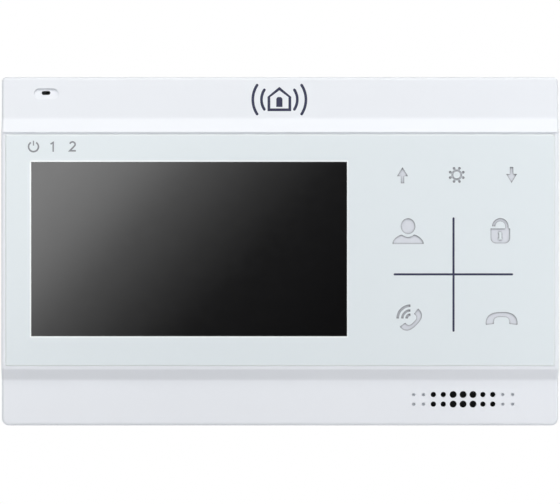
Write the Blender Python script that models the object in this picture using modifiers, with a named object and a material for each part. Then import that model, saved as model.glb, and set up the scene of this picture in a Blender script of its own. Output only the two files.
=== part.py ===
"""Video intercom monitor for indoor use, hung on a steel wall plate.

Metres, +X to the viewer's right, +Z up, the front faces -Y. The wall is the plane y = 0 and the
origin is the centre of the wall plate's back face. Run it from Blender's text editor or with
blender --background --python part.py.
"""
import math

import bmesh
import bpy
from mathutils import Matrix, Vector

NAME = "video_intercom_monitor"

# Reach of the cutters past the body, sink of a joined shape, and the tolerance of edge picking
CUT_FRONT_Y = -0.0300
CUT_BACK_Y = 0.0020
JOIN_SINK = 0.0003
PICK_TOLERANCE = 0.00001

# Outer size, and the planes of the body along Y from the glass to the cover's back
BODY_WIDTH = 0.174
BODY_HEIGHT = 0.109
WALL = 0.0018
GAP = 0.0003
GLASS_FRONT_Y = -0.0230
RIM_Y = -0.0228
BAR_Y = -0.0205
GLASS_THICKNESS = 0.0020
SEAT_Y = -0.0201
WEB_BACK_Y = -0.0186
BEZEL_BACK_Y = -0.0095
COVER_FRONT_Y = -0.0092
TONGUE_Y = -0.0112
COVER_FLOOR_Y = -0.0035
COVER_BACK_Y = -0.0005
TOP_CORNER_RADIUS = 0.0013
BOTTOM_CORNER_RADIUS = 0.0020
FRONT_FILLET = 0.0008

# Heights where the two bars turn into the ramps up to the glass rim
TOP_RAMP_START_Z = 0.0415
TOP_RAMP_END_Z = 0.0374
BOTTOM_RAMP_END_Z = -0.0368
BOTTOM_RAMP_START_Z = -0.0401

# Glass, the tape behind it and the light guides
GLASS_HALF_WIDTH = 0.0857
GLASS_TOP_Z = 0.0366
GLASS_BOTTOM_Z = -0.0359
GLASS_CHAMFER = 0.0004
GLASS_CORNER_RADIUS = 0.0005
TAPE_SIZE = (0.1708, 0.0718)
TAPE_THICKNESS = 0.0003
TAPE_CLEARANCE = 0.0006
GUIDE_BACK_Y = -0.0193

# Screen, keys and status row, as (x, z) in the front view
SCREEN_CENTRE = (-0.0282, 0.0007)
SCREEN_SIZE = (0.0982, 0.0542)
KEY_WINDOW_LOW = (0.0310, -0.0285)
KEY_WINDOW_HIGH = (0.0810, 0.0325)
KEY_PLACES = {
    "up": (0.0382, 0.0237),
    "menu": (0.0551, 0.0238),
    "down": (0.0722, 0.0238),
    "call": (0.0400, 0.0063),
    "unlock": (0.0686, 0.0064),
    "talk": (0.0403, -0.0206),
    "hang_up": (0.0691, -0.0207),
}
STATUS_Z = 0.0327
STATUS_PLACES = {"power": -0.0769, "door_1": -0.0710, "door_2": -0.0647}
STATUS_SLOT_LOW = (-0.0796, 0.0310)
STATUS_SLOT_HIGH = (-0.0620, 0.0344)

# Microphone port and speaker grille
MIC_CENTRE = (-0.0729, 0.0492)
MIC_RECESS = (0.0073, 0.0034)
MIC_RECESS_DEPTH = 0.0008
MIC_SLOT = (0.0027, 0.00125)
MIC_RING_RADIUS = 0.0044
MIC_RING_END_Y = -0.0162
MIC_BORE_RADIUS = 0.0035
GRILLE_CENTRE = (0.0571, -0.0461)
GRILLE_PITCH = 0.00309
GRILLE_ROW_PITCH = 0.0030
GRILLE_DIAMETERS = (0.0021, 0.0021, 0.0015, 0.0015, 0.0011, 0.0011)
GRILLE_BLIND_DEPTH = 0.0004
SPEAKER_CENTRE = (0.0571, -0.0423)
SPEAKER_SIZE = (0.0380, 0.0200)
SPEAKER_CORNER_RADIUS = 0.0095
FENCE_WALL = 0.0015
FENCE_END_Y = -0.0150
BASKET_SIZE = (0.0340, 0.0160)
BASKET_BACK_Y = -0.0126
BASKET_SHEET = 0.0008
MAGNET_RADIUS = 0.0060
MAGNET_Y = (-0.0145, -0.0090)
CONE_SIZE = (0.0316, 0.0136)
CONE_Y = (-0.0169, -0.0163)

# Display stack: cell, backlight, tray, retaining strap and flat cable
LCD_LOW = (-0.0802, -0.0339)
LCD_HIGH = (0.0238, 0.0303)
LCD_Y = (-0.0182, -0.0170)
BACKLIGHT_Y = (-0.0167, -0.0153)
TRAY_BACK_Y = -0.0146
TRAY_SHEET = 0.0004
STRAP_CENTRE = (-0.028, -0.0018)
STRAP_SIZE = (0.012, 0.081)
STRAP_Y = (-0.0143, -0.0133)
FLEX_X = 0.005
FLEX_WIDTH = 0.020
FLEX_BEND = (-0.0157, -0.0360, 0.0019)
RIBBON_THICKNESS = 0.0002

# Boards
MAIN_BOARD_LOW = (-0.0820, -0.0440)
MAIN_BOARD_HIGH = (0.0340, 0.0440)
MAIN_BOARD_FRONT_Y = -0.0119
BOARD_THICKNESS = 0.0016
COMPONENT_Y = MAIN_BOARD_FRONT_Y + BOARD_THICKNESS + GAP
KEY_BOARD_FRONT_Y = -0.0178
KEY_BOARD_THICKNESS = 0.0010
TOUCH_BOARD = ((0.0292, -0.0295), (0.0835, 0.0335))
STATUS_BOARD = ((-0.0805, 0.0314), (-0.0605, 0.0368))
LED_SIZE = (0.0016, 0.0008, 0.0008)

# Flat-topped components on the main board: place, size, height, material
COMPONENTS = {
    "processor": ((-0.030, 0.010), (0.014, 0.014), 0.0012, "chip"),
    "memory_chip": ((-0.054, 0.008), (0.010, 0.018), 0.0010, "chip"),
    "audio_amplifier": ((0.022, -0.002), (0.005, 0.006), 0.0015, "chip"),
    "crystal": ((-0.030, 0.024), (0.011, 0.0045), 0.0030, "steel"),
}
CAPACITOR_PLACES = [(0.020, 0.029), (0.009, 0.031)]
CAPACITOR_RADIUS = 0.0032
CAPACITOR_HEIGHT = 0.0054
INDUCTOR = ((0.020, 0.012), (0.010, 0.010), 0.0040)
SHIELD = ((-0.004, 0.012), (0.024, 0.020), 0.0024)
SHIELD_SHEET = 0.0003

# Fastener places, as (x, z)
COVER_SCREW_PLACES = [(-0.080, 0.048), (0.080, 0.048), (-0.080, -0.048), (0.080, -0.048)]
BOARD_SCREW_PLACES = [(-0.072, 0.040), (0.029, 0.040), (-0.072, -0.040), (0.029, -0.040)]
BRACKET_SCREW_PLACES = [(-0.028, 0.0352), (-0.028, -0.0388)]

# Bosses behind the bezel's web, as radius and end, and the pilot holes in them, as start and radius
COVER_BOSS = (0.0030, BEZEL_BACK_Y)
BOARD_BOSS = (0.0025, MAIN_BOARD_FRONT_Y - GAP)
BRACKET_BOSS = (0.0020, -0.0146)
COVER_PILOT = (-0.0165, 0.0015)
BOARD_PILOT = (-0.0172, 0.0013)
BRACKET_PILOT = (-0.0178, 0.0011)

# Screws: underside and top of the head, its radius, the tip and the shank's radius
COVER_SCREW = (-0.0027, -0.0011, 0.0027, -0.0155, 0.0012)
BOARD_SCREW = (COMPONENT_Y, COMPONENT_Y + 0.0014, 0.0020, -0.0162, 0.0010)
BRACKET_SCREW = (-0.0130, -0.0122, 0.0019, -0.0172, 0.0008)
RECESS_HALF_WIDTH = 0.0003

# Rear cover, its vents and its label
COVER_SIZE = (0.1728, 0.1078)
COVER_CORNER_RADIUS = 0.003
COVER_BACK_ROUND = 0.0022
TONGUE_SIZE = (0.1698, 0.1048)
COVER_INSIDE = (0.1678, 0.1028)
COVER_POST_RADIUS = 0.0035
COVER_HOLE_RADIUS = 0.0017
HEAD_WELL = (-0.0030, 0.0031)
VENT_COUNT = 13
VENT_PITCH = 0.004
VENT_SIZE = (0.0018, 0.0075)
VENT_Z = 0.0445
LABEL_LOW = (0.064, -0.020)
LABEL_HIGH = (0.081, 0.020)
LABEL_BACK_Y = -0.00005

# Wall plate, its hooks and the bay for the cables
PLATE_HALF_SIZE = (0.060, 0.038)
PLATE_THICKNESS = 0.0012
HOOK_PLACES = [(-0.048, 0.022), (0.048, 0.022), (-0.048, -0.018), (0.048, -0.018)]
HOOK_WIDTH = 0.008
HOOK_REACH_Y = -0.0051
HOOK_LIP = 0.0040
LIFT_TRAVEL = 0.0045
PLATE_OPENING_LOW = (-0.030, -0.034)
PLATE_OPENING_HIGH = (0.030, -0.006)
BAY_LOW = (-0.028, -0.031)
BAY_HIGH = (0.028, -0.009)
SCREW_SLOTS = [(-0.030, 0.003), (0.030, 0.003), (-0.050, 0.032), (0.050, 0.032),
               (-0.050, -0.032), (0.050, -0.032)]
SCREW_SLOT_SIZE = (0.008, 0.0038)

# Power switch in the left side wall
SWITCH_Z = 0.0100
SWITCH_Y = -0.0077
SLIDER_SIZE = (0.0024, 0.0040)
SLIDER_TRAVEL = 0.0025
SLIDER_TIP_X = -0.0869
SLIDER_ROOT_X = -0.0801
SLIDER_GROOVE_PITCH = 0.0012
SWITCH_BODY_X = (-0.0819, -0.0779)
SWITCH_BODY_HEIGHT = 0.0042
SWITCH_BODY_HALF_LENGTH = 0.0055

# Terminals in the cable bay, as x centre, width and number of pins
TERMINALS = {
    "door_terminal_1": (-0.0200, 0.0110, 4),
    "door_terminal_2": (-0.0065, 0.0110, 4),
    "monitor_terminal": (0.0070, 0.0110, 4),
    "power_terminal": (0.0195, 0.0090, 2),
}
TERMINAL_Z = -0.0200
TERMINAL_HEIGHT = 0.0062
TERMINAL_DEPTH = 0.0050
TERMINAL_WALL = 0.0008
TERMINAL_SHOULDERS = 0.0035
PIN_HALF_WIDTH = 0.0003

# Material name: colour, roughness, metallic
MATERIALS = {
    "white_plastic": ((0.86, 0.87, 0.90), 0.35, 0.0),
    "white_glass": ((0.80, 0.84, 0.85), 0.08, 0.0),
    "black_glass": ((0.01, 0.01, 0.012), 0.10, 0.0),
    "tape": ((0.05, 0.05, 0.05), 0.80, 0.0),
    "diffuser": ((0.75, 0.76, 0.80), 0.45, 0.0),
    "steel": ((0.55, 0.56, 0.58), 0.35, 1.0),
    "zinc_screw": ((0.62, 0.62, 0.60), 0.30, 1.0),
    "circuit_board": ((0.02, 0.16, 0.07), 0.40, 0.0),
    "chip": ((0.02, 0.02, 0.022), 0.50, 0.0),
    "led": ((0.90, 0.88, 0.70), 0.25, 0.0),
    "ribbon": ((0.45, 0.22, 0.04), 0.35, 0.0),
    "connector": ((0.85, 0.83, 0.76), 0.45, 0.0),
    "black_plastic": ((0.03, 0.03, 0.03), 0.45, 0.0),
    "paper_cone": ((0.05, 0.05, 0.05), 0.85, 0.0),
    "rubber": ((0.03, 0.03, 0.03), 0.80, 0.0),
    "aluminium": ((0.80, 0.80, 0.80), 0.30, 1.0),
    "wire": ((0.55, 0.03, 0.03), 0.45, 0.0),
    "label": ((0.88, 0.88, 0.86), 0.50, 0.0),
}


def start_scene():
    """Empty the scene and make the collections for the parts and the cutters."""
    for old in list(bpy.data.objects):
        bpy.data.objects.remove(old, do_unlink=True)
    made = {}
    for label in (NAME, "cutters"):
        collection = bpy.data.collections.new(label)
        bpy.context.scene.collection.children.link(collection)
        made[label] = collection
    return made[NAME], made["cutters"]


def make_materials():
    made = {}
    for label, (colour, roughness, metallic) in MATERIALS.items():
        material = bpy.data.materials.new(label)
        material.use_nodes = True
        shader = material.node_tree.nodes["Principled BSDF"]
        shader.inputs["Base Color"].default_value = (*colour, 1.0)
        shader.inputs["Roughness"].default_value = roughness
        shader.inputs["Metallic"].default_value = metallic
        material.diffuse_color = (*colour, 1.0)
        made[label] = material
    return made


PARTS, CUTTERS = start_scene()
MATERIAL = make_materials()


# Mesh builders: each adds a closed shape to a bmesh, at its place in the world

def add_box(bm, low, high):
    """Box between two opposite corners."""
    centre = (Vector(low) + Vector(high)) / 2
    size = Vector(high) - Vector(low)
    place = Matrix.Translation(centre) @ Matrix.Diagonal((*size, 1.0))
    return bmesh.ops.create_cube(bm, size=1.0, matrix=place)["verts"]


def add_rod(bm, place, y_low, y_high, radius, sides=16, radius_high=None):
    """Cylinder or cone along Y at the (x, z) place; radius_high is its radius at y_high."""
    depth = y_high - y_low
    centre = Matrix.Translation((place[0], (y_low + y_high) / 2, place[1]))
    turn = Matrix.Rotation(-math.pi / 2, 4, "X")
    far = radius if radius_high is None else radius_high
    return bmesh.ops.create_cone(bm, cap_ends=True, segments=sides, radius1=radius, radius2=far,
                                 depth=depth, matrix=centre @ turn)["verts"]


def add_slab(bm, centre, size, y_low, y_high, radius, segments=4):
    """Plate facing Y around the (x, z) centre, with its four corners rounded."""
    half_x = size[0] / 2
    half_z = size[1] / 2
    corners = add_box(bm, (centre[0] - half_x, y_low, centre[1] - half_z),
                      (centre[0] + half_x, y_high, centre[1] + half_z))
    if radius > 0:
        own = set(corners)
        edges = [e for e in bm.edges if own.issuperset(e.verts) and runs_along(e, 1)]
        bmesh.ops.bevel(bm, geom=edges, offset=radius, offset_type="OFFSET", segments=segments,
                        profile=0.5, affect="EDGES", clamp_overlap=True)


def runs_along(edge, axis):
    """True for an edge parallel to the X, Y or Z axis (0, 1 or 2)."""
    direction = (edge.verts[1].co - edge.verts[0].co).normalized()
    return abs(direction[axis]) > 0.999


def bevel_where(bm, rule, width, segments):
    edges = [e for e in bm.edges if rule(e)]
    bmesh.ops.bevel(bm, geom=edges, offset=width, offset_type="OFFSET", segments=segments,
                    profile=0.5, affect="EDGES", clamp_overlap=True)


# Objects

def finish(name, bm, material, smooth=True):
    """Put a bmesh in the scene as a part with its origin at the middle of its own box."""
    low = Vector([min(v.co[i] for v in bm.verts) for i in range(3)])
    high = Vector([max(v.co[i] for v in bm.verts) for i in range(3)])
    centre = (low + high) / 2
    bmesh.ops.translate(bm, verts=bm.verts, vec=-centre)
    mesh = bpy.data.meshes.new(name)
    bm.to_mesh(mesh)
    bm.free()
    if smooth:
        mesh.shade_smooth()
        mesh.set_sharp_from_angle(angle=math.radians(30))
    mesh.materials.append(MATERIAL[material])
    part = bpy.data.objects.new(name, mesh)
    part.location = centre
    PARTS.objects.link(part)
    return part


def tool(name, bm):
    """Put a bmesh in the scene as a cutter, or as a shape to be joined to a part."""
    mesh = bpy.data.meshes.new(name)
    bm.to_mesh(mesh)
    bm.free()
    helper = bpy.data.objects.new(name, mesh)
    helper.hide_render = True
    helper.display_type = "WIRE"
    CUTTERS.objects.link(helper)
    return helper


def combine(part, helper, operation):
    modifier = part.modifiers.new(helper.name, "BOOLEAN")
    modifier.operation = operation
    modifier.solver = "EXACT"
    modifier.object = helper


def cut(part, name, bm):
    combine(part, tool(part.name + "_" + name, bm), "DIFFERENCE")


def join(part, name, bm):
    combine(part, tool(part.name + "_" + name, bm), "UNION")


def simple_box(name, low, high, material):
    bm = bmesh.new()
    add_box(bm, low, high)
    return finish(name, bm, material, smooth=False)


def simple_slab(name, centre, size, y_low, y_high, radius, material):
    bm = bmesh.new()
    add_slab(bm, centre, size, y_low, y_high, radius)
    return finish(name, bm, material)


def extruded_outline(points, half_depth):
    """Mesh of a flat closed outline, drawn in local XY and thickened along local Z."""
    curve = bpy.data.curves.new("outline", "CURVE")
    curve.dimensions = "2D"
    curve.fill_mode = "BOTH"
    curve.extrude = half_depth
    spline = curve.splines.new("POLY")
    spline.points.add(len(points) - 1)
    for point, (x, y) in zip(spline.points, points):
        point.co = (x, y, 0.0, 1.0)
    spline.use_cyclic_u = True
    guide = bpy.data.objects.new("outline", curve)
    CUTTERS.objects.link(guide)
    graph = bpy.context.evaluated_depsgraph_get()
    mesh = bpy.data.meshes.new_from_object(guide.evaluated_get(graph))
    bm = bmesh.new()
    bm.from_mesh(mesh)
    bmesh.ops.remove_doubles(bm, verts=bm.verts, dist=0.000001)
    bpy.data.objects.remove(guide, do_unlink=True)
    bpy.data.meshes.remove(mesh)
    return bm


def add_section(bm, points, x_low, x_high):
    """Add a (y, z) outline extruded from x_low to x_high to a bmesh."""
    shape = extruded_outline(points, (x_high - x_low) / 2)
    turn = Matrix.Rotation(math.pi / 2, 4, "Z") @ Matrix.Rotation(math.pi / 2, 4, "X")
    place = Matrix.Translation(((x_low + x_high) / 2, 0.0, 0.0)) @ turn
    bmesh.ops.transform(shape, matrix=place, verts=shape.verts)
    mesh = bpy.data.meshes.new("section")
    shape.to_mesh(mesh)
    shape.free()
    bm.from_mesh(mesh)
    bpy.data.meshes.remove(mesh)


def ribbon(name, path, across, material):
    """Flat cable: an open strip along the path, as wide as the across vector, with Solidify."""
    bm = bmesh.new()
    side = Vector(across) / 2
    rows = [(bm.verts.new(Vector(p) - side), bm.verts.new(Vector(p) + side)) for p in path]
    for (a, b), (c, d) in zip(rows, rows[1:]):
        bm.faces.new((a, b, d, c))
    strip = finish(name, bm, material)
    solid = strip.modifiers.new("thickness", "SOLIDIFY")
    solid.thickness = RIBBON_THICKNESS
    solid.offset = 0.0
    return strip


def spline_through(route, steps):
    """Points of a smooth curve through the route's points (Catmull-Rom)."""
    ends = [route[0], *route, route[-1]]
    points = []
    for i in range(len(route) - 1):
        p0, p1, p2, p3 = (Vector(p) for p in ends[i:i + 4])
        for k in range(steps):
            t = k / steps
            points.append(0.5 * (2 * p1 + (p2 - p0) * t + (2 * p0 - 5 * p1 + 4 * p2 - p3) * t ** 2
                                 + (3 * p1 - p0 - 3 * p2 + p3) * t ** 3))
    points.append(Vector(route[-1]))
    return points


def lead(name, route, diameter):
    """Round wire inside the housing, as a bevelled curve with filled caps."""
    points = spline_through(route, 5)
    curve = bpy.data.curves.new(name, "CURVE")
    curve.dimensions = "3D"
    curve.bevel_depth = diameter / 2
    curve.bevel_resolution = 2
    curve.use_fill_caps = True
    spline = curve.splines.new("POLY")
    spline.points.add(len(points) - 1)
    for point, place in zip(spline.points, points):
        point.co = (*place, 1.0)
    curve.materials.append(MATERIAL["wire"])
    wire = bpy.data.objects.new(name, curve)
    PARTS.objects.link(wire)
    return wire


# Front: bezel, glass and what sits right behind it

def make_front_bezel():
    """Front shell: two flat bars, ramps up to the glass rim, a web behind the glass, bosses."""
    half_x = BODY_WIDTH / 2
    half_z = BODY_HEIGHT / 2
    profile = [
        (BEZEL_BACK_Y, -half_z), (BAR_Y, -half_z), (BAR_Y, BOTTOM_RAMP_START_Z),
        (RIM_Y, BOTTOM_RAMP_END_Z), (RIM_Y, TOP_RAMP_END_Z), (BAR_Y, TOP_RAMP_START_Z),
        (BAR_Y, half_z), (BEZEL_BACK_Y, half_z),
    ]
    bm = bmesh.new()
    add_section(bm, profile, -half_x, half_x)
    bmesh.ops.dissolve_limit(bm, angle_limit=0.001, verts=bm.verts, edges=bm.edges)

    def at_corner(edge, sign):
        return runs_along(edge, 1) and all(sign * v.co.z > half_z - PICK_TOLERANCE for v in edge.verts)

    def on_front_outline(edge):
        in_front = all(v.co.y < BAR_Y + PICK_TOLERANCE for v in edge.verts)
        faces_out = any(face.normal.y > -0.1 for face in edge.link_faces)
        faces_front = any(face.normal.y < -0.5 for face in edge.link_faces)
        return in_front and faces_out and faces_front

    bevel_where(bm, lambda e: at_corner(e, 1.0), TOP_CORNER_RADIUS, 3)
    bevel_where(bm, lambda e: at_corner(e, -1.0), BOTTOM_CORNER_RADIUS, 4)
    bevel_where(bm, on_front_outline, FRONT_FILLET, 2)
    bezel = finish("front_bezel", bm, "white_plastic")

    inner = bmesh.new()
    inner_size = (BODY_WIDTH - 2 * WALL, BODY_HEIGHT - 2 * WALL)
    add_slab(inner, (0, 0), inner_size, WEB_BACK_Y, 0.0, 0.001, 2)
    cut(bezel, "hollow", inner)

    seat = bmesh.new()
    seat_size = (2 * (GLASS_HALF_WIDTH + GAP), GLASS_TOP_Z - GLASS_BOTTOM_Z + 2 * GAP)
    seat_centre = (0, (GLASS_TOP_Z + GLASS_BOTTOM_Z) / 2)
    add_slab(seat, seat_centre, seat_size, CUT_FRONT_Y, SEAT_Y, 0.0006, 2)
    cut(bezel, "glass_seat", seat)

    windows = bmesh.new()
    through = (SEAT_Y - 0.001, WEB_BACK_Y + 0.001)
    window_size = (SCREEN_SIZE[0] + 2 * GAP, SCREEN_SIZE[1] + 2 * GAP)
    add_slab(windows, SCREEN_CENTRE, window_size, *through, 0)
    add_box(windows, (KEY_WINDOW_LOW[0], through[0], KEY_WINDOW_LOW[1]),
            (KEY_WINDOW_HIGH[0], through[1], KEY_WINDOW_HIGH[1]))
    add_box(windows, (STATUS_SLOT_LOW[0], through[0], STATUS_SLOT_LOW[1]),
            (STATUS_SLOT_HIGH[0], through[1], STATUS_SLOT_HIGH[1]))
    cut(bezel, "windows", windows)

    port = bmesh.new()
    add_slab(port, MIC_CENTRE, MIC_RECESS, CUT_FRONT_Y, BAR_Y + MIC_RECESS_DEPTH, 0.0015)
    cut(bezel, "microphone_recess", port)
    slot = bmesh.new()
    add_slab(slot, MIC_CENTRE, MIC_SLOT, CUT_FRONT_Y, WEB_BACK_Y + 0.001, 0.0006)
    cut(bezel, "microphone_slot", slot)
    cut(bezel, "grille", grille_holes())

    sunk = WEB_BACK_Y - JOIN_SINK
    fastened = ((COVER_SCREW_PLACES, COVER_BOSS, COVER_PILOT),
                (BOARD_SCREW_PLACES, BOARD_BOSS, BOARD_PILOT),
                (BRACKET_SCREW_PLACES, BRACKET_BOSS, BRACKET_PILOT))
    bosses = bmesh.new()
    for places, (radius, end), _ in fastened:
        for place in places:
            add_rod(bosses, place, sunk, end, radius)
    join(bezel, "bosses", bosses)

    fence = bmesh.new()
    fence_size = (SPEAKER_SIZE[0] + 2 * FENCE_WALL, SPEAKER_SIZE[1] + 2 * FENCE_WALL)
    fence_corner = SPEAKER_CORNER_RADIUS + FENCE_WALL
    add_slab(fence, SPEAKER_CENTRE, fence_size, sunk, FENCE_END_Y, fence_corner, 6)
    add_rod(fence, MIC_CENTRE, sunk, MIC_RING_END_Y, MIC_RING_RADIUS)
    join(bezel, "fences", fence)

    pilots = bmesh.new()
    for places, _, (start, radius) in fastened:
        for place in places:
            add_rod(pilots, place, start, 0.0, radius, 12)
    pocket_size = (SPEAKER_SIZE[0] + 2 * GAP, SPEAKER_SIZE[1] + 2 * GAP)
    pocket_corner = SPEAKER_CORNER_RADIUS + GAP
    add_slab(pilots, SPEAKER_CENTRE, pocket_size, WEB_BACK_Y, FENCE_END_Y + 0.001, pocket_corner, 6)
    add_rod(pilots, MIC_CENTRE, WEB_BACK_Y, MIC_RING_END_Y + 0.0012, MIC_BORE_RADIUS)
    cut(bezel, "pilot_holes", pilots)


def grille_holes():
    """Two rows of eleven holes, largest in the middle; the outer two on each side are blind."""
    bm = bmesh.new()
    for column in range(-5, 6):
        diameter = GRILLE_DIAMETERS[abs(column)]
        blind = abs(column) >= 4
        back = BAR_Y + GRILLE_BLIND_DEPTH if blind else WEB_BACK_Y + 0.0002
        for row in (-0.5, 0.5):
            place = (GRILLE_CENTRE[0] + column * GRILLE_PITCH,
                     GRILLE_CENTRE[1] + row * GRILLE_ROW_PITCH)
            add_rod(bm, place, BAR_Y - 0.001, back, diameter / 2, 12)
    return bm


def make_glass():
    """Front glass with a small chamfer round its front edge."""
    bm = bmesh.new()
    size = (2 * GLASS_HALF_WIDTH, GLASS_TOP_Z - GLASS_BOTTOM_Z)
    centre = (0, (GLASS_TOP_Z + GLASS_BOTTOM_Z) / 2)
    back = GLASS_FRONT_Y + GLASS_THICKNESS
    add_slab(bm, centre, size, GLASS_FRONT_Y, back, GLASS_CORNER_RADIUS, 2)
    foremost = GLASS_FRONT_Y + PICK_TOLERANCE
    bevel_where(bm, lambda e: all(v.co.y < foremost for v in e.verts), GLASS_CHAMFER, 1)
    finish("front_glass", bm, "white_glass")


def make_glass_tape():
    """Adhesive frame between the glass and its seat, open at the screen, keys and status row."""
    front = GLASS_FRONT_Y + GLASS_THICKNESS + GAP
    back = front + TAPE_THICKNESS
    bm = bmesh.new()
    add_slab(bm, (0, (GLASS_TOP_Z + GLASS_BOTTOM_Z) / 2), TAPE_SIZE, front, back, 0)
    tape = finish("glass_tape", bm, "tape", smooth=False)
    holes = bmesh.new()
    hole_size = (SCREEN_SIZE[0] + 2 * TAPE_CLEARANCE, SCREEN_SIZE[1] + 2 * TAPE_CLEARANCE)
    add_slab(holes, SCREEN_CENTRE, hole_size, CUT_FRONT_Y, 0.0, 0)
    add_box(holes, (KEY_WINDOW_LOW[0] - GAP, CUT_FRONT_Y, KEY_WINDOW_LOW[1] - GAP),
            (KEY_WINDOW_HIGH[0] + GAP, 0.0, KEY_WINDOW_HIGH[1] + GAP))
    add_box(holes, (STATUS_SLOT_LOW[0] - GAP, CUT_FRONT_Y, STATUS_SLOT_LOW[1]),
            (STATUS_SLOT_HIGH[0] + GAP, 0.0, STATUS_SLOT_HIGH[1] + GAP))
    cut(tape, "openings", holes)


def make_light_guides():
    """Acrylic diffusers that fill the key window and the status slot, just behind the glass."""
    front = GLASS_FRONT_Y + GLASS_THICKNESS + GAP
    for name, low, high in (("key_diffuser", KEY_WINDOW_LOW, KEY_WINDOW_HIGH),
                            ("status_light_guide", STATUS_SLOT_LOW, STATUS_SLOT_HIGH)):
        simple_box(name, (low[0] + GAP, front, low[1] + GAP),
                   (high[0] - GAP, GUIDE_BACK_Y, high[1] - GAP), "diffuser")


# Display stack

def make_display():
    """Cell and backlight in a tray, held by a strap across the back, with a flat cable."""
    for name, (front, back), material in (("lcd_panel", LCD_Y, "black_glass"),
                                          ("lcd_backlight", BACKLIGHT_Y, "diffuser")):
        simple_box(name, (LCD_LOW[0], front, LCD_LOW[1]), (LCD_HIGH[0], back, LCD_HIGH[1]), material)
    reach = GAP + TRAY_SHEET
    bm = bmesh.new()
    add_box(bm, (LCD_LOW[0] - reach, WEB_BACK_Y + GAP, LCD_LOW[1] - reach),
            (LCD_HIGH[0] + reach, TRAY_BACK_Y, LCD_HIGH[1] + reach))
    tray = finish("lcd_frame", bm, "steel", smooth=False)
    inside = bmesh.new()
    add_box(inside, (LCD_LOW[0] - GAP, CUT_FRONT_Y, LCD_LOW[1] - GAP),
            (LCD_HIGH[0] + GAP, TRAY_BACK_Y - TRAY_SHEET, LCD_HIGH[1] + GAP))
    cut(tray, "inside", inside)
    notch = bmesh.new()
    notch_reach = FLEX_WIDTH / 2 + 0.003
    add_box(notch, (FLEX_X - notch_reach, CUT_FRONT_Y, LCD_LOW[1] - 0.002),
            (FLEX_X + notch_reach, -0.0165, LCD_LOW[1] - GAP / 2))
    cut(tray, "cable_notch", notch)

    strap_bm = bmesh.new()
    add_slab(strap_bm, STRAP_CENTRE, STRAP_SIZE, *STRAP_Y, 0.002, 3)
    strap = finish("lcd_bracket", strap_bm, "steel")
    holes = bmesh.new()
    for place in BRACKET_SCREW_PLACES:
        add_rod(holes, place, -0.02, -0.01, 0.0012, 12)
    cut(strap, "screw_holes", holes)

    bend_y, bend_z, radius = FLEX_BEND
    bend = [(FLEX_X, bend_y - radius * math.cos(a), bend_z - radius * math.sin(a))
            for a in (math.pi * k / 8 for k in range(9))]
    path = [(FLEX_X, -0.0176, -0.0342), *bend, (FLEX_X, -0.0138, -0.0300),
            (FLEX_X, -0.0124, -0.0250), (FLEX_X, -0.0124, -0.0210)]
    ribbon("lcd_flex", path, (FLEX_WIDTH, 0, 0), "ribbon")


# Key board, status board and their LEDs

def make_led(name, place):
    wide, deep, tall = LED_SIZE
    back = KEY_BOARD_FRONT_Y - GAP
    simple_box(name, (place[0] - wide / 2, back - deep, place[1] - tall / 2),
               (place[0] + wide / 2, back, place[1] + tall / 2), "led")


def make_key_boards():
    """Boards behind the keys and the status row, one LED for each legend, and the keys' cable."""
    back = KEY_BOARD_FRONT_Y + KEY_BOARD_THICKNESS
    for name, (low, high) in (("touch_board", TOUCH_BOARD), ("status_board", STATUS_BOARD)):
        simple_box(name, (low[0], KEY_BOARD_FRONT_Y, low[1]), (high[0], back, high[1]),
                   "circuit_board")
    for key, place in KEY_PLACES.items():
        make_led("key_led_" + key, place)
    for lamp, x in STATUS_PLACES.items():
        make_led("status_led_" + lamp, (x, STATUS_Z))
    path = [(0.0500, -0.0164, 0.004), (0.0440, -0.0162, 0.004), (0.0400, -0.0150, 0.004),
            (0.0365, -0.0132, 0.004), (0.0330, -0.0123, 0.004), (0.0290, -0.0123, 0.004)]
    ribbon("touch_cable", path, (0, 0, 0.008), "ribbon")


# Main board and what is soldered to its back

def make_main_board():
    bm = bmesh.new()
    back = MAIN_BOARD_FRONT_Y + BOARD_THICKNESS
    add_box(bm, (MAIN_BOARD_LOW[0], MAIN_BOARD_FRONT_Y, MAIN_BOARD_LOW[1]),
            (MAIN_BOARD_HIGH[0], back, MAIN_BOARD_HIGH[1]))
    board = finish("main_board", bm, "circuit_board", smooth=False)
    holes = bmesh.new()
    for place in BOARD_SCREW_PLACES:
        add_rod(holes, place, -0.02, 0.0, 0.0014, 12)
    cut(board, "screw_holes", holes)

    for name, (place, size, height, material) in COMPONENTS.items():
        simple_box(name, (place[0] - size[0] / 2, COMPONENT_Y, place[1] - size[1] / 2),
                   (place[0] + size[0] / 2, COMPONENT_Y + height, place[1] + size[1] / 2), material)
    for index, place in enumerate(CAPACITOR_PLACES, 1):
        can = bmesh.new()
        add_rod(can, place, COMPONENT_Y, COMPONENT_Y + CAPACITOR_HEIGHT, CAPACITOR_RADIUS, 20)
        finish("capacitor_%d" % index, can, "aluminium")
    place, size, height = INDUCTOR
    coil = bmesh.new()
    add_slab(coil, place, size, COMPONENT_Y, COMPONENT_Y + height, 0.0020, 2)
    finish("inductor", coil, "chip")

    place, size, height = SHIELD
    can_bm = bmesh.new()
    add_slab(can_bm, place, size, COMPONENT_Y, COMPONENT_Y + height, 0.0008, 2)
    can = finish("shield_can", can_bm, "steel")
    inside = bmesh.new()
    inside_size = (size[0] - 2 * SHIELD_SHEET, size[1] - 2 * SHIELD_SHEET)
    add_slab(inside, place, inside_size, -0.02, COMPONENT_Y + height - SHIELD_SHEET, 0.0006, 2)
    cut(can, "inside", inside)


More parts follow.
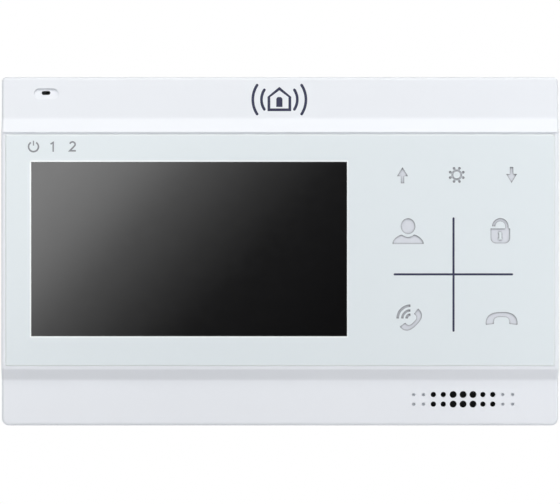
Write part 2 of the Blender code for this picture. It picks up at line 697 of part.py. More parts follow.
def make_terminals():
    """Pin headers with their mouths to the wall side, each with a keying slot."""
    for name, (x, width, pins) in TERMINALS.items():
        low = (x - width / 2, COMPONENT_Y, TERMINAL_Z - TERMINAL_HEIGHT / 2)
        high = (x + width / 2, COMPONENT_Y + TERMINAL_DEPTH, TERMINAL_Z + TERMINAL_HEIGHT / 2)
        bm = bmesh.new()
        add_box(bm, low, high)
        header = finish(name, bm, "connector", smooth=False)
        mouth = bmesh.new()
        add_box(mouth, (low[0] + TERMINAL_WALL, low[1] + 0.0010, low[2] + TERMINAL_WALL),
                (high[0] - TERMINAL_WALL, 0.0, high[2] - TERMINAL_WALL))
        cut(header, "mouth", mouth)
        key = bmesh.new()
        add_box(key, (x - 0.0010, low[1] + 0.0020, high[2] - 0.0015),
                (x + 0.0010, 0.0, high[2] + 0.001))
        cut(header, "key_slot", key)
        pitch = (width - TERMINAL_SHOULDERS) / (pins - 1)
        posts = bmesh.new()
        for pin in range(pins):
            pin_x = x + (pin - (pins - 1) / 2) * pitch
            add_box(posts, (pin_x - PIN_HALF_WIDTH, low[1] + 0.0008, TERMINAL_Z - PIN_HALF_WIDTH),
                    (pin_x + PIN_HALF_WIDTH, high[1] - 0.0006, TERMINAL_Z + PIN_HALF_WIDTH))
        join(header, "pins", posts)


def make_power_switch():
    """Slide switch at the board's left edge; its slider runs in a channel and passes the wall."""
    bm = bmesh.new()
    middle = SWITCH_Z + SLIDER_TRAVEL / 2
    add_box(bm, (SWITCH_BODY_X[0], COMPONENT_Y, middle - SWITCH_BODY_HALF_LENGTH),
            (SWITCH_BODY_X[1], COMPONENT_Y + SWITCH_BODY_HEIGHT, middle + SWITCH_BODY_HALF_LENGTH))
    body = finish("power_switch_body", bm, "black_plastic", smooth=False)
    channel = bmesh.new()
    half_run = (SLIDER_SIZE[1] + SLIDER_TRAVEL) / 2 + GAP
    add_box(channel, (-0.083, SWITCH_Y - SLIDER_SIZE[0] / 2 - GAP, middle - half_run),
            (SLIDER_ROOT_X + GAP, SWITCH_Y + SLIDER_SIZE[0] / 2 + GAP, middle + half_run))
    cut(body, "channel", channel)

    pivot = bpy.data.objects.new("power_slider_axis", None)
    pivot.location = (SLIDER_TIP_X, SWITCH_Y, SWITCH_Z)
    PARTS.objects.link(pivot)
    knob = bmesh.new()
    add_box(knob, (SLIDER_TIP_X, SWITCH_Y - SLIDER_SIZE[0] / 2, SWITCH_Z - SLIDER_SIZE[1] / 2),
            (SLIDER_ROOT_X, SWITCH_Y + SLIDER_SIZE[0] / 2, SWITCH_Z + SLIDER_SIZE[1] / 2))
    slider = finish("power_slider", knob, "black_plastic", smooth=False)
    grooves = bmesh.new()
    for step in (-1, 0, 1):
        z = SWITCH_Z + step * SLIDER_GROOVE_PITCH
        add_box(grooves, (SLIDER_TIP_X - 0.001, -0.0095, z - 0.0002),
                (SLIDER_TIP_X + 0.0003, -0.0060, z + 0.0002))
    cut(slider, "grooves", grooves)
    slider.location = slider.location - pivot.location
    slider.parent = pivot


# Speaker and microphone

def make_speaker():
    """Gasket, basket with its flange, magnet through the basket's floor, and the cone."""
    flange_front = WEB_BACK_Y + 0.0013
    gasket_bm = bmesh.new()
    add_slab(gasket_bm, SPEAKER_CENTRE, SPEAKER_SIZE, WEB_BACK_Y + GAP, flange_front - GAP,
             SPEAKER_CORNER_RADIUS, 6)
    gasket = finish("speaker_gasket", gasket_bm, "rubber")
    hole = bmesh.new()
    add_slab(hole, SPEAKER_CENTRE, (0.0335, 0.0155), CUT_FRONT_Y, 0.0, 0.0074, 6)
    cut(gasket, "opening", hole)

    frame_bm = bmesh.new()
    add_slab(frame_bm, SPEAKER_CENTRE, SPEAKER_SIZE, flange_front, flange_front + 0.0010,
             SPEAKER_CORNER_RADIUS, 6)
    frame = finish("speaker_frame", frame_bm, "black_plastic")
    basket = bmesh.new()
    add_slab(basket, SPEAKER_CENTRE, BASKET_SIZE, flange_front + 0.0008, BASKET_BACK_Y, 0.0077, 6)
    join(frame, "basket", basket)
    inside = bmesh.new()
    inside_size = (BASKET_SIZE[0] - 2 * BASKET_SHEET, BASKET_SIZE[1] - 2 * BASKET_SHEET)
    add_slab(inside, SPEAKER_CENTRE, inside_size, CUT_FRONT_Y, BASKET_BACK_Y - BASKET_SHEET, 0.0069, 6)
    cut(frame, "inside", inside)
    magnet_hole = bmesh.new()
    add_rod(magnet_hole, SPEAKER_CENTRE, -0.02, 0.0, MAGNET_RADIUS + GAP, 24)
    cut(frame, "magnet_hole", magnet_hole)

    magnet = bmesh.new()
    add_rod(magnet, SPEAKER_CENTRE, *MAGNET_Y, MAGNET_RADIUS, 24)
    finish("speaker_magnet", magnet, "steel")

    cone_bm = bmesh.new()
    add_slab(cone_bm, SPEAKER_CENTRE, CONE_SIZE, *CONE_Y, 0.0065, 6)
    cone = finish("speaker_cone", cone_bm, "paper_cone")
    dome = bmesh.new()
    add_rod(dome, SPEAKER_CENTRE, -0.0176, -0.0166, 0.0022, 20, 0.0040)
    join(cone, "dome", dome)


def make_microphone():
    """Rubber boot with a port to the slot in front, and the capsule in its pocket."""
    boot_bm = bmesh.new()
    add_rod(boot_bm, MIC_CENTRE, WEB_BACK_Y + GAP, -0.0156, 0.0032, 20)
    boot = finish("microphone_boot", boot_bm, "rubber")
    pocket = bmesh.new()
    add_rod(pocket, MIC_CENTRE, -0.0177, 0.0, 0.0023, 20)
    cut(boot, "pocket", pocket)
    port = bmesh.new()
    add_rod(port, MIC_CENTRE, -0.0200, -0.0170, 0.0008, 12)
    cut(boot, "port", port)
    capsule = bmesh.new()
    add_rod(capsule, MIC_CENTRE, -0.0174, -0.0158, 0.0020, 20)
    finish("microphone_capsule", capsule, "aluminium")


def make_leads():
    lead("speaker_lead", [(0.0480, -0.0116, -0.0380), (0.0430, -0.0100, -0.0360),
                          (0.0380, -0.0090, -0.0330), (0.0330, -0.0091, -0.0300),
                          (0.0285, -0.0094, -0.0260)], 0.0012)
    lead("microphone_lead", [(-0.0729, -0.0148, 0.0490), (-0.0715, -0.0135, 0.0482),
                             (-0.0700, -0.0110, 0.0468), (-0.0675, -0.0094, 0.0440),
                             (-0.0640, -0.0094, 0.0400), (-0.0610, -0.0094, 0.0370)], 0.0010)


# Rear cover and wall plate

def make_rear_cover():
    """Tray-shaped rear shell with a tongue into the bezel, a plate recess and a cable bay."""
    bm = bmesh.new()
    add_slab(bm, (0, 0), COVER_SIZE, COVER_FRONT_Y, COVER_BACK_Y, COVER_CORNER_RADIUS, 4)
    rearmost = COVER_BACK_Y - PICK_TOLERANCE
    bevel_where(bm, lambda e: all(v.co.y > rearmost for v in e.verts), COVER_BACK_ROUND, 3)
    cover = finish("rear_cover", bm, "white_plastic")

    tongue = bmesh.new()
    add_slab(tongue, (0, 0), TONGUE_SIZE, TONGUE_Y, COVER_FRONT_Y + 0.002, 0.0016, 3)
    join(cover, "tongue", tongue)
    inside = bmesh.new()
    add_slab(inside, (0, 0), COVER_INSIDE, -0.02, COVER_FLOOR_Y, 0.001, 2)
    cut(cover, "hollow", inside)

    bosses = bmesh.new()
    for place in COVER_SCREW_PLACES:
        add_rod(bosses, place, COVER_FRONT_Y, COVER_FLOOR_Y + 0.0004, COVER_POST_RADIUS)
    join(cover, "bosses", bosses)

    recess = bmesh.new()
    clear = 0.0006
    recess_low = -PLATE_HALF_SIZE[1] - LIFT_TRAVEL - clear
    recess_high = PLATE_HALF_SIZE[1] + clear
    add_slab(recess, (0, (recess_low + recess_high) / 2),
             (2 * (PLATE_HALF_SIZE[0] + clear), recess_high - recess_low),
             -PLATE_THICKNESS - GAP, CUT_BACK_Y, 0.003, 3)
    cut(cover, "plate_recess", recess)

    openings = bmesh.new()
    before_floor = COVER_FLOOR_Y - 0.0025
    add_box(openings, (BAY_LOW[0], before_floor, BAY_LOW[1]), (BAY_HIGH[0], CUT_BACK_Y, BAY_HIGH[1]))
    hook_reach = HOOK_WIDTH / 2 + 0.001
    for x, z in HOOK_PLACES:
        under = z - PLATE_THICKNESS - LIFT_TRAVEL - 0.0005
        add_box(openings, (x - hook_reach, before_floor, under), (x + hook_reach, CUT_BACK_Y, z + GAP))
    for index in range(VENT_COUNT):
        place = ((index - (VENT_COUNT - 1) / 2) * VENT_PITCH, VENT_Z)
        add_slab(openings, place, VENT_SIZE, before_floor, CUT_BACK_Y, 0.0008, 2)
    cut(cover, "openings", openings)

    holes = bmesh.new()
    for place in COVER_SCREW_PLACES:
        add_rod(holes, place, -0.012, CUT_BACK_Y, COVER_HOLE_RADIUS, 12)
    cut(cover, "screw_holes", holes)
    wells = bmesh.new()
    for place in COVER_SCREW_PLACES:
        add_rod(wells, place, HEAD_WELL[0], CUT_BACK_Y, HEAD_WELL[1], 20)
    cut(cover, "head_wells", wells)

    slot = bmesh.new()
    middle = SWITCH_Z + SLIDER_TRAVEL / 2
    half_run = (SLIDER_SIZE[1] + SLIDER_TRAVEL) / 2 + GAP
    add_box(slot, (-0.090, -0.012, middle - half_run),
            (-0.083, SWITCH_Y + SLIDER_SIZE[0] / 2 + GAP, middle + half_run))
    cut(cover, "switch_slot", slot)


def make_rating_label():
    simple_box("rating_label", (LABEL_LOW[0], COVER_BACK_Y + GAP, LABEL_LOW[1]),
               (LABEL_HIGH[0], LABEL_BACK_Y, LABEL_HIGH[1]), "label")


def make_wall_plate():
    """Pressed steel plate with four hooks, screw slots and an opening for the cables."""
    bm = bmesh.new()
    size = (2 * PLATE_HALF_SIZE[0], 2 * PLATE_HALF_SIZE[1])
    add_slab(bm, (0, 0), size, -PLATE_THICKNESS, 0.0, 0.004, 4)
    plate = finish("wall_plate", bm, "steel")
    hooks = bmesh.new()
    for x, z in HOOK_PLACES:
        under = z - PLATE_THICKNESS
        lip_back = HOOK_REACH_Y + PLATE_THICKNESS
        outline = [(-0.0006, under), (-0.0006, z), (lip_back, z), (lip_back, z + HOOK_LIP),
                   (HOOK_REACH_Y, z + HOOK_LIP), (HOOK_REACH_Y, under)]
        add_section(hooks, outline, x - HOOK_WIDTH / 2, x + HOOK_WIDTH / 2)
    join(plate, "hooks", hooks)

    openings = bmesh.new()
    middle = [(low + high) / 2 for low, high in zip(PLATE_OPENING_LOW, PLATE_OPENING_HIGH)]
    span = [high - low for low, high in zip(PLATE_OPENING_LOW, PLATE_OPENING_HIGH)]
    before_plate = -0.003
    add_slab(openings, middle, span, before_plate, CUT_BACK_Y, 0.003, 3)
    for place in SCREW_SLOTS:
        add_slab(openings, place, SCREW_SLOT_SIZE, before_plate, CUT_BACK_Y, 0.0018, 4)
    for x, z in HOOK_PLACES:
        window_size = (HOOK_WIDTH + 0.001, 0.0060)
        add_slab(openings, (x, z - 0.0045), window_size, before_plate, CUT_BACK_Y, 0.0005, 1)
    cut(plate, "openings", openings)


# Fasteners

def make_screw(name, place, head_low, head_high, head_radius, tip_y, shank_radius):
    """Pan-head screw along Y with a cross recess; its head is on the wall side."""
    bm = bmesh.new()
    add_rod(bm, place, head_low, head_high, head_radius, 16)
    topmost = head_high - PICK_TOLERANCE
    head_round = (head_high - head_low) * 0.35
    bevel_where(bm, lambda e: all(v.co.y > topmost for v in e.verts), head_round, 2)
    screw = finish(name, bm, "zinc_screw")
    shank = bmesh.new()
    add_rod(shank, place, tip_y, head_low + 0.0001, shank_radius * 0.7, 12, shank_radius)
    join(screw, "shank", shank)
    arm = head_radius * 0.5
    floor = (head_low + head_high) / 2
    for name, x, z in (("across", arm, RECESS_HALF_WIDTH), ("upright", RECESS_HALF_WIDTH, arm)):
        recess = bmesh.new()
        add_box(recess, (place[0] - x, floor, place[1] - z),
                (place[0] + x, head_high + 0.001, place[1] + z))
        cut(screw, "recess_" + name, recess)


def make_screws():
    for kind, places, sizes in (("cover", COVER_SCREW_PLACES, COVER_SCREW),
                                ("board", BOARD_SCREW_PLACES, BOARD_SCREW),
                                ("bracket", BRACKET_SCREW_PLACES, BRACKET_SCREW)):
        for index, place in enumerate(places, 1):
            make_screw("%s_screw_%d" % (kind, index), place, *sizes)


def main():
    make_front_bezel()
    make_glass()
    make_glass_tape()
    make_light_guides()
    make_display()
    make_key_boards()
    make_main_board()
    make_terminals()
    make_power_switch()
    make_speaker()
    make_microphone()
    make_leads()
    make_rear_cover()
    make_rating_label()
    make_wall_plate()
    make_screws()


main()
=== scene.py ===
import bmesh
import bpy
import math
from mathutils import Matrix, Vector


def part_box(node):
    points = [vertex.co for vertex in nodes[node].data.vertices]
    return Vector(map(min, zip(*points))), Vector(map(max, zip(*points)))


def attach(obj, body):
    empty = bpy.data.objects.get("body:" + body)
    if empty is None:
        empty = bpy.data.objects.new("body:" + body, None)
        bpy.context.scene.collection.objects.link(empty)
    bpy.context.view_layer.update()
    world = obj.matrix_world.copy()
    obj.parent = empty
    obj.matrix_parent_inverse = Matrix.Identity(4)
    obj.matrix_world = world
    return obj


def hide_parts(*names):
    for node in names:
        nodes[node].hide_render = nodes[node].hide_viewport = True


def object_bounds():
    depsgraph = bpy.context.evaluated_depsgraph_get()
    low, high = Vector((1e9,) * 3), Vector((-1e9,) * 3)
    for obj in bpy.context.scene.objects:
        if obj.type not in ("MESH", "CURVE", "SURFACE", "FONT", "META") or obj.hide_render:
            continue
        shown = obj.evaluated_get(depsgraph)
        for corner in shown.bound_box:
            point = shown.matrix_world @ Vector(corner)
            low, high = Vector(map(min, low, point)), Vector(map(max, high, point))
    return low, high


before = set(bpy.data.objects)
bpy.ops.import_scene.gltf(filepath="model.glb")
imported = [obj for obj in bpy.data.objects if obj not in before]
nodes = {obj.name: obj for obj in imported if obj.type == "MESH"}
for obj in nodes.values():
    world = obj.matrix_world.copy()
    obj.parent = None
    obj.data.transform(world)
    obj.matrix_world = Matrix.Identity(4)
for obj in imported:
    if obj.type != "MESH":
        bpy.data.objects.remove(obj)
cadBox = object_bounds()
mm = 0.001
print("stage: frame loaded,", len(nodes), "nodes")


def inMm(value):
    # settings give lengths as decimals in millimetres; whole numbers are counts or degrees
    if isinstance(value, dict):
        return {key: inMm(entry) for key, entry in value.items()}
    if isinstance(value, (list, tuple)):
        return type(value)(inMm(entry) for entry in value)
    return value * mm if isinstance(value, float) else value


# node helpers: an input takes a plain value, a node (its first live output) or a (node, output) pair

def feed(tree, socket, value):
    if isinstance(value, tuple) and isinstance(value[0], bpy.types.Node):
        value = value[0].outputs[value[1]]
    if isinstance(value, bpy.types.Node):
        value = next(output for output in value.outputs if output.enabled)
    if isinstance(value, bpy.types.NodeSocket):
        tree.links.new(value, socket)
    else:
        socket.default_value = value


def add(tree, kind, inputs=None, **settings):
    node = tree.nodes.new(kind)
    for key, value in settings.items():
        setattr(node, key, value)
    for key, value in (inputs or {}).items():
        feed(tree, node.inputs[key], value)
    return node


def calculate(tree, operation, *values):
    return add(tree, "ShaderNodeMath", dict(enumerate(values)), operation=operation)


def spread(tree, value, low, high, least=0.0, **settings):
    entries = {"Value": value, "From Min": low, "From Max": high, "To Min": least}
    return add(tree, "ShaderNodeMapRange", entries, **settings)


def mixValues(tree, share, first, second):
    return add(tree, "ShaderNodeMix", {"Factor": share, "A": first, "B": second}, data_type="FLOAT")


def mixColours(tree, share, first, second, blend="MIX"):
    entries = {"Factor": share, "A": first, "B": second}
    return add(tree, "ShaderNodeMix", entries, data_type="RGBA", blend_type=blend)


def openTree(name, kind, inputs, outputs):
    tree = bpy.data.node_groups.new(name, kind)
    for label, sort, value in inputs:
        socket = tree.interface.new_socket(label, in_out="INPUT", socket_type="NodeSocket" + sort)
        if value is not None:
            socket.default_value = value
    for label, sort in outputs:
        tree.interface.new_socket(label, in_out="OUTPUT", socket_type="NodeSocket" + sort)
    return tree, add(tree, "NodeGroupInput"), add(tree, "NodeGroupOutput")


# camera and light

studio = {
    "cameraDistance": 0.970,      # from the glass to the lens
    "cameraDrop": 0.00023,        # the body sits a hair above the middle of the frame
    "lens": 200.0,
    "sensor": 36.0,
    "clip": (0.01, 20.0),
    "lamps": {                    # place, size, power, colour
        "keyLight": ((0.02, -0.36, 0.46), (0.90, 0.34), 2.36, (1.0, 1.0, 0.985)),
        "frontLight": ((0.0, -0.40, 0.22), (0.90, 0.20), 0.55, (0.98, 0.99, 1.03)),
        "rightLight": ((0.24, -0.13, -0.02), (0.10, 0.24), 0.125, (0.98, 0.99, 1.03)),
        "leftLight": ((-0.24, -0.13, -0.02), (0.10, 0.24), 0.075, (0.98, 0.99, 1.03)),
        "backLight": ((0.15, 0.62, 0.14), (0.80, 0.50), 3.2, (1.0, 1.0, 1.0)),
    },
    "sky": (0.073, 0.202),        # from straight below to straight above
    "skySide": 0.103,             # added towards both sides
    "cardSlope": (7.64, -7.19),   # how fast the card's tone runs across and up, for each metre from the glass
    "cardShift": 0.7207,
    "cardCone": (-0.955, -0.985),
    "cardStops": [(0.0, 3.40), (0.167, 2.47), (0.33, 1.12), (0.50, 0.48), (0.67, 0.115), (1.0, 0.055)],
}


def makeCamera():
    camera = bpy.data.objects.new("camera", bpy.data.cameras.new("camera"))
    camera.data.lens = studio["lens"]
    camera.data.sensor_width = studio["sensor"]
    camera.data.clip_start, camera.data.clip_end = studio["clip"]
    low, high = cadBox
    camera.location = ((low.x + high.x) / 2, low.y - studio["cameraDistance"],
                       (low.z + high.z) / 2 - studio["cameraDrop"])
    camera.rotation_euler = (math.pi / 2, 0, 0)
    bpy.context.scene.collection.objects.link(camera)
    bpy.context.scene.camera = camera


def makeLamp(name, place, size, power, colour):
    lamp = bpy.data.objects.new(name, bpy.data.lights.new(name, "AREA"))
    lamp.data.shape = "RECTANGLE"
    lamp.data.size, lamp.data.size_y = size
    lamp.data.energy = power
    lamp.data.color = colour
    lamp.location = place
    lamp.rotation_euler = (-Vector(place)).to_track_quat("-Z", "Y").to_euler()
    bpy.context.scene.collection.objects.link(lamp)


def makeWorld():
    # white to the lens, soft sky for the light, and a dim room with one pale card behind the lens
    world = bpy.data.worlds.new("studio")
    world.use_nodes = True
    tree = world.node_tree
    tree.nodes.clear()
    axes = add(tree, "ShaderNodeSeparateXYZ", {"Vector": (add(tree, "ShaderNodeTexCoord"), "Generated")})
    across, up = (slope * studio["cameraDistance"] for slope in studio["cardSlope"])
    slide = calculate(tree, "ADD", calculate(tree, "MULTIPLY", (axes, "X"), across),
                      calculate(tree, "MULTIPLY", (axes, "Z"), up))
    card = add(tree, "ShaderNodeValToRGB", {"Fac": calculate(tree, "ADD", slide, studio["cardShift"])})
    stops = card.color_ramp.elements
    while len(stops) < len(studio["cardStops"]):
        stops.new(0.5)
    for stop, (place, tone) in zip(stops, studio["cardStops"]):
        stop.position = place
        stop.color = (tone, tone, tone, 1.0)
    lowest, highest = studio["sky"]
    sky = add(tree, "ShaderNodeMapRange", {"Value": (axes, "Z"), "From Min": -1.0, "To Min": lowest,
                                           "To Max": highest})
    sides = calculate(tree, "MULTIPLY", calculate(tree, "ABSOLUTE", (axes, "X")), studio["skySide"])
    room = spread(tree, (axes, "Y"), *studio["cardCone"], interpolation_type="SMOOTHSTEP")
    seen = mixColours(tree, room, calculate(tree, "ADD", sky, sides), card)
    light = add(tree, "ShaderNodeBackground", {"Color": seen})
    paper = add(tree, "ShaderNodeBackground", {"Color": (1, 1, 1, 1)})
    lens = add(tree, "ShaderNodeLightPath")
    pick = add(tree, "ShaderNodeMixShader", {"Fac": (lens, "Is Camera Ray"), 1: light, 2: paper})
    add(tree, "ShaderNodeOutputWorld", {"Surface": pick})
    bpy.context.scene.world = world


def makeStudio():
    makeCamera()
    makeWorld()
    for name, look in studio["lamps"].items():
        makeLamp(name, *look)
    bpy.context.scene.view_settings.view_transform = "Standard"
    bpy.context.scene.view_settings.look = "None"
    print("stage: camera and light ready")


# node groups that the finishes share

def newGroup(name, inputs, outputs):
    return openTree(name, "ShaderNodeTree", [("Place", "Vector", None)] + inputs, outputs)


def addNoise(tree, place, scale, detail=2.0):
    return add(tree, "ShaderNodeTexNoise", {"Vector": place, "Scale": scale, "Detail": detail})


def makeGrainGroup():
    # fine moulding grain: two sizes of noise, as a mask and as a height
    coarser = 9.0
    group, start, end = newGroup("mouldGrain", [("Scale", "Float", 900.0), ("Coarse Share", "Float", 0.35)],
                                 [("Mask", "Float"), ("Height", "Float")])
    fine = addNoise(group, (start, "Place"), (start, "Scale"), 4.0)
    coarse = addNoise(group, (start, "Place"), calculate(group, "DIVIDE", (start, "Scale"), coarser))
    blend = mixValues(group, (start, "Coarse Share"), fine, coarse)
    feed(group, end.inputs["Height"], blend)
    feed(group, end.inputs["Mask"], spread(group, blend, 0.35, 0.65))
    return group


def makeWearGroup():
    # rubbed edges: where the rounded normal leaves the true one, broken up by noise
    group, start, end = newGroup("rubbedEdges", [("Scale", "Float", 160.0), ("Radius", "Float", 0.0003)],
                                 [("Mask", "Float")])
    rounded = add(group, "ShaderNodeBevel", {"Radius": (start, "Radius")}, samples=4)
    shape = add(group, "ShaderNodeNewGeometry")
    along = add(group, "ShaderNodeVectorMath", {0: rounded, 1: (shape, "True Normal")}, operation="DOT_PRODUCT")
    edge = spread(group, (along, "Value"), 0.985, 0.80, interpolation_type="SMOOTHSTEP")
    patches = spread(group, addNoise(group, (start, "Place"), (start, "Scale"), 5.0), 0.42, 0.62)
    feed(group, end.inputs["Mask"], calculate(group, "MULTIPLY", edge, patches))
    return group


def makeToneGroup():
    # slow drift between two colours, with a little fine speckle on top
    speckleScale = 2400.0
    white = (1, 1, 1, 1)
    group, start, end = newGroup("toneDrift", [("Scale", "Float", 18.0), ("Speckle", "Float", 0.15),
                                               ("First", "Color", white), ("Second", "Color", white)],
                                 [("Color", "Color")])
    slow = addNoise(group, (start, "Place"), (start, "Scale"), 3.0)
    quick = addNoise(group, (start, "Place"), speckleScale)
    share = spread(group, mixValues(group, (start, "Speckle"), slow, quick), 0.34, 0.66)
    feed(group, end.inputs["Color"], mixColours(group, share, (start, "First"), (start, "Second")))
    return group


def makeScratchGroup():
    # hairline scratches: noise drawn out along one axis and cut to thin lines
    group, start, end = newGroup("hairlines", [("Stretch", "Vector", (4000, 4000, 60))], [("Mask", "Float")])
    scaled = add(group, "ShaderNodeVectorMath", {0: (start, "Place"), 1: (start, "Stretch")},
                 operation="MULTIPLY")
    feed(group, end.inputs["Mask"], spread(group, addNoise(group, scaled, 1.0), 0.35, 0.70))
    return group


grainGroup = makeGrainGroup()
wearGroup = makeWearGroup()
toneGroup = makeToneGroup()
scratchGroup = makeScratchGroup()


# finishes

# colour pair, worn colour, roughness range, grain scale, bump, drift scale, wear, the shader's own values
finishKeys = ("first", "second", "worn", "rough", "grain", "bump", "drift", "wear", "shader")
finishRows = {
    "housingWhite": ((0.809, 0.830, 0.864), (0.793, 0.815, 0.851), (0.88, 0.89, 0.91), (0.30, 0.40),
        1500.0, 0.05, 14.0, 0.20, {"IOR": 1.50, "Coat Weight": 0.12, "Coat Roughness": 0.18}),
    "coverWhite": ((0.800, 0.808, 0.835), (0.775, 0.785, 0.815), (0.90, 0.90, 0.91), (0.46, 0.62),
        1100.0, 0.22, 16.0, 0.35, {"IOR": 1.50}),
    "glassPrint": ((0.745, 0.800, 0.819), (0.733, 0.788, 0.812), (0.80, 0.86, 0.86), (0.30, 0.40),
        500.0, 0.012, 9.0, 0.0, {"IOR": 1.45, "Coat Weight": 0.22, "Coat Roughness": 0.02}),
    "glassEdge": ((0.93, 0.97, 0.97), (0.90, 0.95, 0.95), (0.96, 0.99, 0.99), (0.10, 0.22),
        2600.0, 0.05, 60.0, 0.3, {"IOR": 1.52, "Coat Weight": 1.0, "Coat Roughness": 0.05}),
    "screenBlack": ((0.0020, 0.0020, 0.0023), (0.0026, 0.0026, 0.0030), (0.01, 0.01, 0.01), (0.035, 0.060),
        260.0, 0.004, 22.0, 0.0, {"IOR": 1.65}),
    "legendGrey": ((0.690, 0.712, 0.760), (0.655, 0.677, 0.722), (0.7, 0.7, 0.75), (0.45, 0.60),
        3000.0, 0.05, 200.0, 0.0, {}),
    "statusGrey": ((0.270, 0.276, 0.295), (0.240, 0.246, 0.265), (0.3, 0.3, 0.32), (0.45, 0.60),
        3000.0, 0.05, 300.0, 0.0, {}),
    "printNavy": ((0.018, 0.020, 0.062), (0.023, 0.025, 0.074), (0.06, 0.06, 0.12), (0.35, 0.50),
        3200.0, 0.06, 240.0, 0.1, {}),
    "plateSteel": ((0.53, 0.54, 0.56), (0.44, 0.455, 0.48), (0.70, 0.70, 0.71), (0.28, 0.46),
        700.0, 0.05, 130.0, 0.6, {"Metallic": 1.0}),
    "traySteel": ((0.56, 0.57, 0.58), (0.48, 0.49, 0.50), (0.70, 0.70, 0.70), (0.25, 0.42),
        900.0, 0.04, 60.0, 0.4, {"Metallic": 1.0}),
    "screwZinc": ((0.64, 0.64, 0.61), (0.56, 0.55, 0.50), (0.80, 0.80, 0.78), (0.22, 0.38),
        1800.0, 0.05, 300.0, 0.7, {"Metallic": 1.0}),
    "boardGreen": ((0.010, 0.105, 0.042), (0.014, 0.135, 0.055), (0.45, 0.33, 0.12), (0.22, 0.38),
        1200.0, 0.10, 30.0, 0.3, {"Coat Weight": 0.5, "Coat Roughness": 0.15}),
    "chipBlack": ((0.018, 0.018, 0.020), (0.030, 0.030, 0.032), (0.08, 0.08, 0.08), (0.45, 0.65),
        2200.0, 0.15, 120.0, 0.3, {}),
    "canAluminium": ((0.78, 0.78, 0.79), (0.70, 0.70, 0.72), (0.86, 0.86, 0.86), (0.22, 0.36),
        1500.0, 0.04, 120.0, 0.3, {"Metallic": 1.0}),
    "nylonCream": ((0.80, 0.775, 0.690), (0.76, 0.735, 0.650), (0.88, 0.86, 0.80), (0.38, 0.52),
        1400.0, 0.10, 90.0, 0.3, {}),
    "pinTin": ((0.72, 0.71, 0.68), (0.62, 0.61, 0.58), (0.82, 0.82, 0.80), (0.20, 0.34),
        2600.0, 0.04, 400.0, 0.3, {"Metallic": 1.0}),
    "switchBlack": ((0.022, 0.022, 0.024), (0.032, 0.032, 0.034), (0.10, 0.10, 0.10), (0.36, 0.52),
        1600.0, 0.12, 90.0, 0.5, {}),
    "paperCone": ((0.012, 0.012, 0.013), (0.020, 0.020, 0.020), (0.08, 0.08, 0.07), (0.75, 0.92),
        900.0, 0.35, 80.0, 0.2, {"Sheen Weight": 0.2}),
    "softRubber": ((0.024, 0.024, 0.025), (0.036, 0.036, 0.036), (0.09, 0.09, 0.09), (0.65, 0.85),
        1300.0, 0.20, 60.0, 0.3, {}),
    "foamTape": ((0.040, 0.040, 0.042), (0.060, 0.060, 0.060), (0.10, 0.10, 0.10), (0.80, 0.95),
        2000.0, 0.40, 60.0, 0.1, {}),
    "milkAcrylic": ((0.74, 0.75, 0.80), (0.70, 0.715, 0.765), (0.85, 0.85, 0.88), (0.35, 0.48),
        1600.0, 0.03, 40.0, 0.1, {}),
    "ledLens": ((0.88, 0.85, 0.62), (0.80, 0.78, 0.58), (0.95, 0.95, 0.85), (0.14, 0.28),
        3000.0, 0.03, 500.0, 0.1, {"Coat Weight": 0.6, "Coat Roughness": 0.08}),
    "ribbonFilm": ((0.50, 0.235, 0.030), (0.40, 0.18, 0.022), (0.65, 0.40, 0.10), (0.22, 0.36),
        1600.0, 0.04, 80.0, 0.2, {"Coat Weight": 0.5, "Coat Roughness": 0.12}),
    "wireJacket": ((0.50, 0.022, 0.020), (0.42, 0.018, 0.018), (0.60, 0.10, 0.10), (0.34, 0.48),
        1800.0, 0.06, 120.0, 0.2, {}),
    "labelPaper": ((0.86, 0.86, 0.835), (0.82, 0.82, 0.79), (0.70, 0.69, 0.66), (0.42, 0.60),
        1500.0, 0.12, 50.0, 0.5, {"Sheen Weight": 0.1}),
    "floorPaper": ((0.86, 0.86, 0.87), (0.84, 0.84, 0.85), (0.80, 0.80, 0.80), (0.70, 0.90),
        400.0, 0.02, 3.0, 0.0, {}),
}
finishes = {name: dict(zip(finishKeys, row)) for name, row in finishRows.items()}
finishes["legendGrey"]["shade"] = 0.38                  # darkest share of the painted shade in the corners of the sunken marks
finishes["plateSteel"]["spangle"] = 420.0               # zinc crystals
finishes["boardGreen"]["traces"] = (0.035, 0.21, 0.075, 1.0)
finishes["traySteel"]["brushed"] = (300, 300, 6000)
finishes["canAluminium"]["brushed"] = (300, 6000, 300)
finishes["ribbonFilm"]["brushed"] = (6000, 300, 300)
brushedShare = 0.7
bumpDistance = 0.1 * mm
paintedShadeDistance = 0.6 * mm


def addSpangle(tree, place, colour, scale):
    # zinc crystals: each Voronoi cell takes its own shade
    cells = add(tree, "ShaderNodeTexVoronoi", {"Scale": scale, "Vector": place})
    shade = add(tree, "ShaderNodeMapRange", {"Value": (cells, "Color"), "To Min": 0.88, "To Max": 1.06})
    return mixColours(tree, 1.0, colour, shade, "MULTIPLY")


def addTraces(tree, place, colour, copper):
    # copper tracks under the solder mask: broad steps of a brick grid and a ground fill
    upright = add(tree, "ShaderNodeMapping", {"Rotation": (math.pi / 2, 0, 0), "Vector": place})
    bricks = add(tree, "ShaderNodeTexBrick", {"Vector": upright, "Scale": 260.0, "Mortar Size": 0.035,
                                              "Mortar Smooth": 0.3}, offset=0.37, squash=1.6)
    return mixColours(tree, (bricks, "Fac"), colour, copper)


def addPaintedShade(tree, colour, darkest):
    # painted shade: the colour is darker where the walls of a sunken mark stand close
    near = add(tree, "ShaderNodeAmbientOcclusion", {"Distance": paintedShadeDistance}, samples=8, only_local=True)
    exposed = spread(tree, (near, "AO"), 0.45, 0.92, darkest)
    return mixColours(tree, 1.0, colour, exposed, "MULTIPLY")


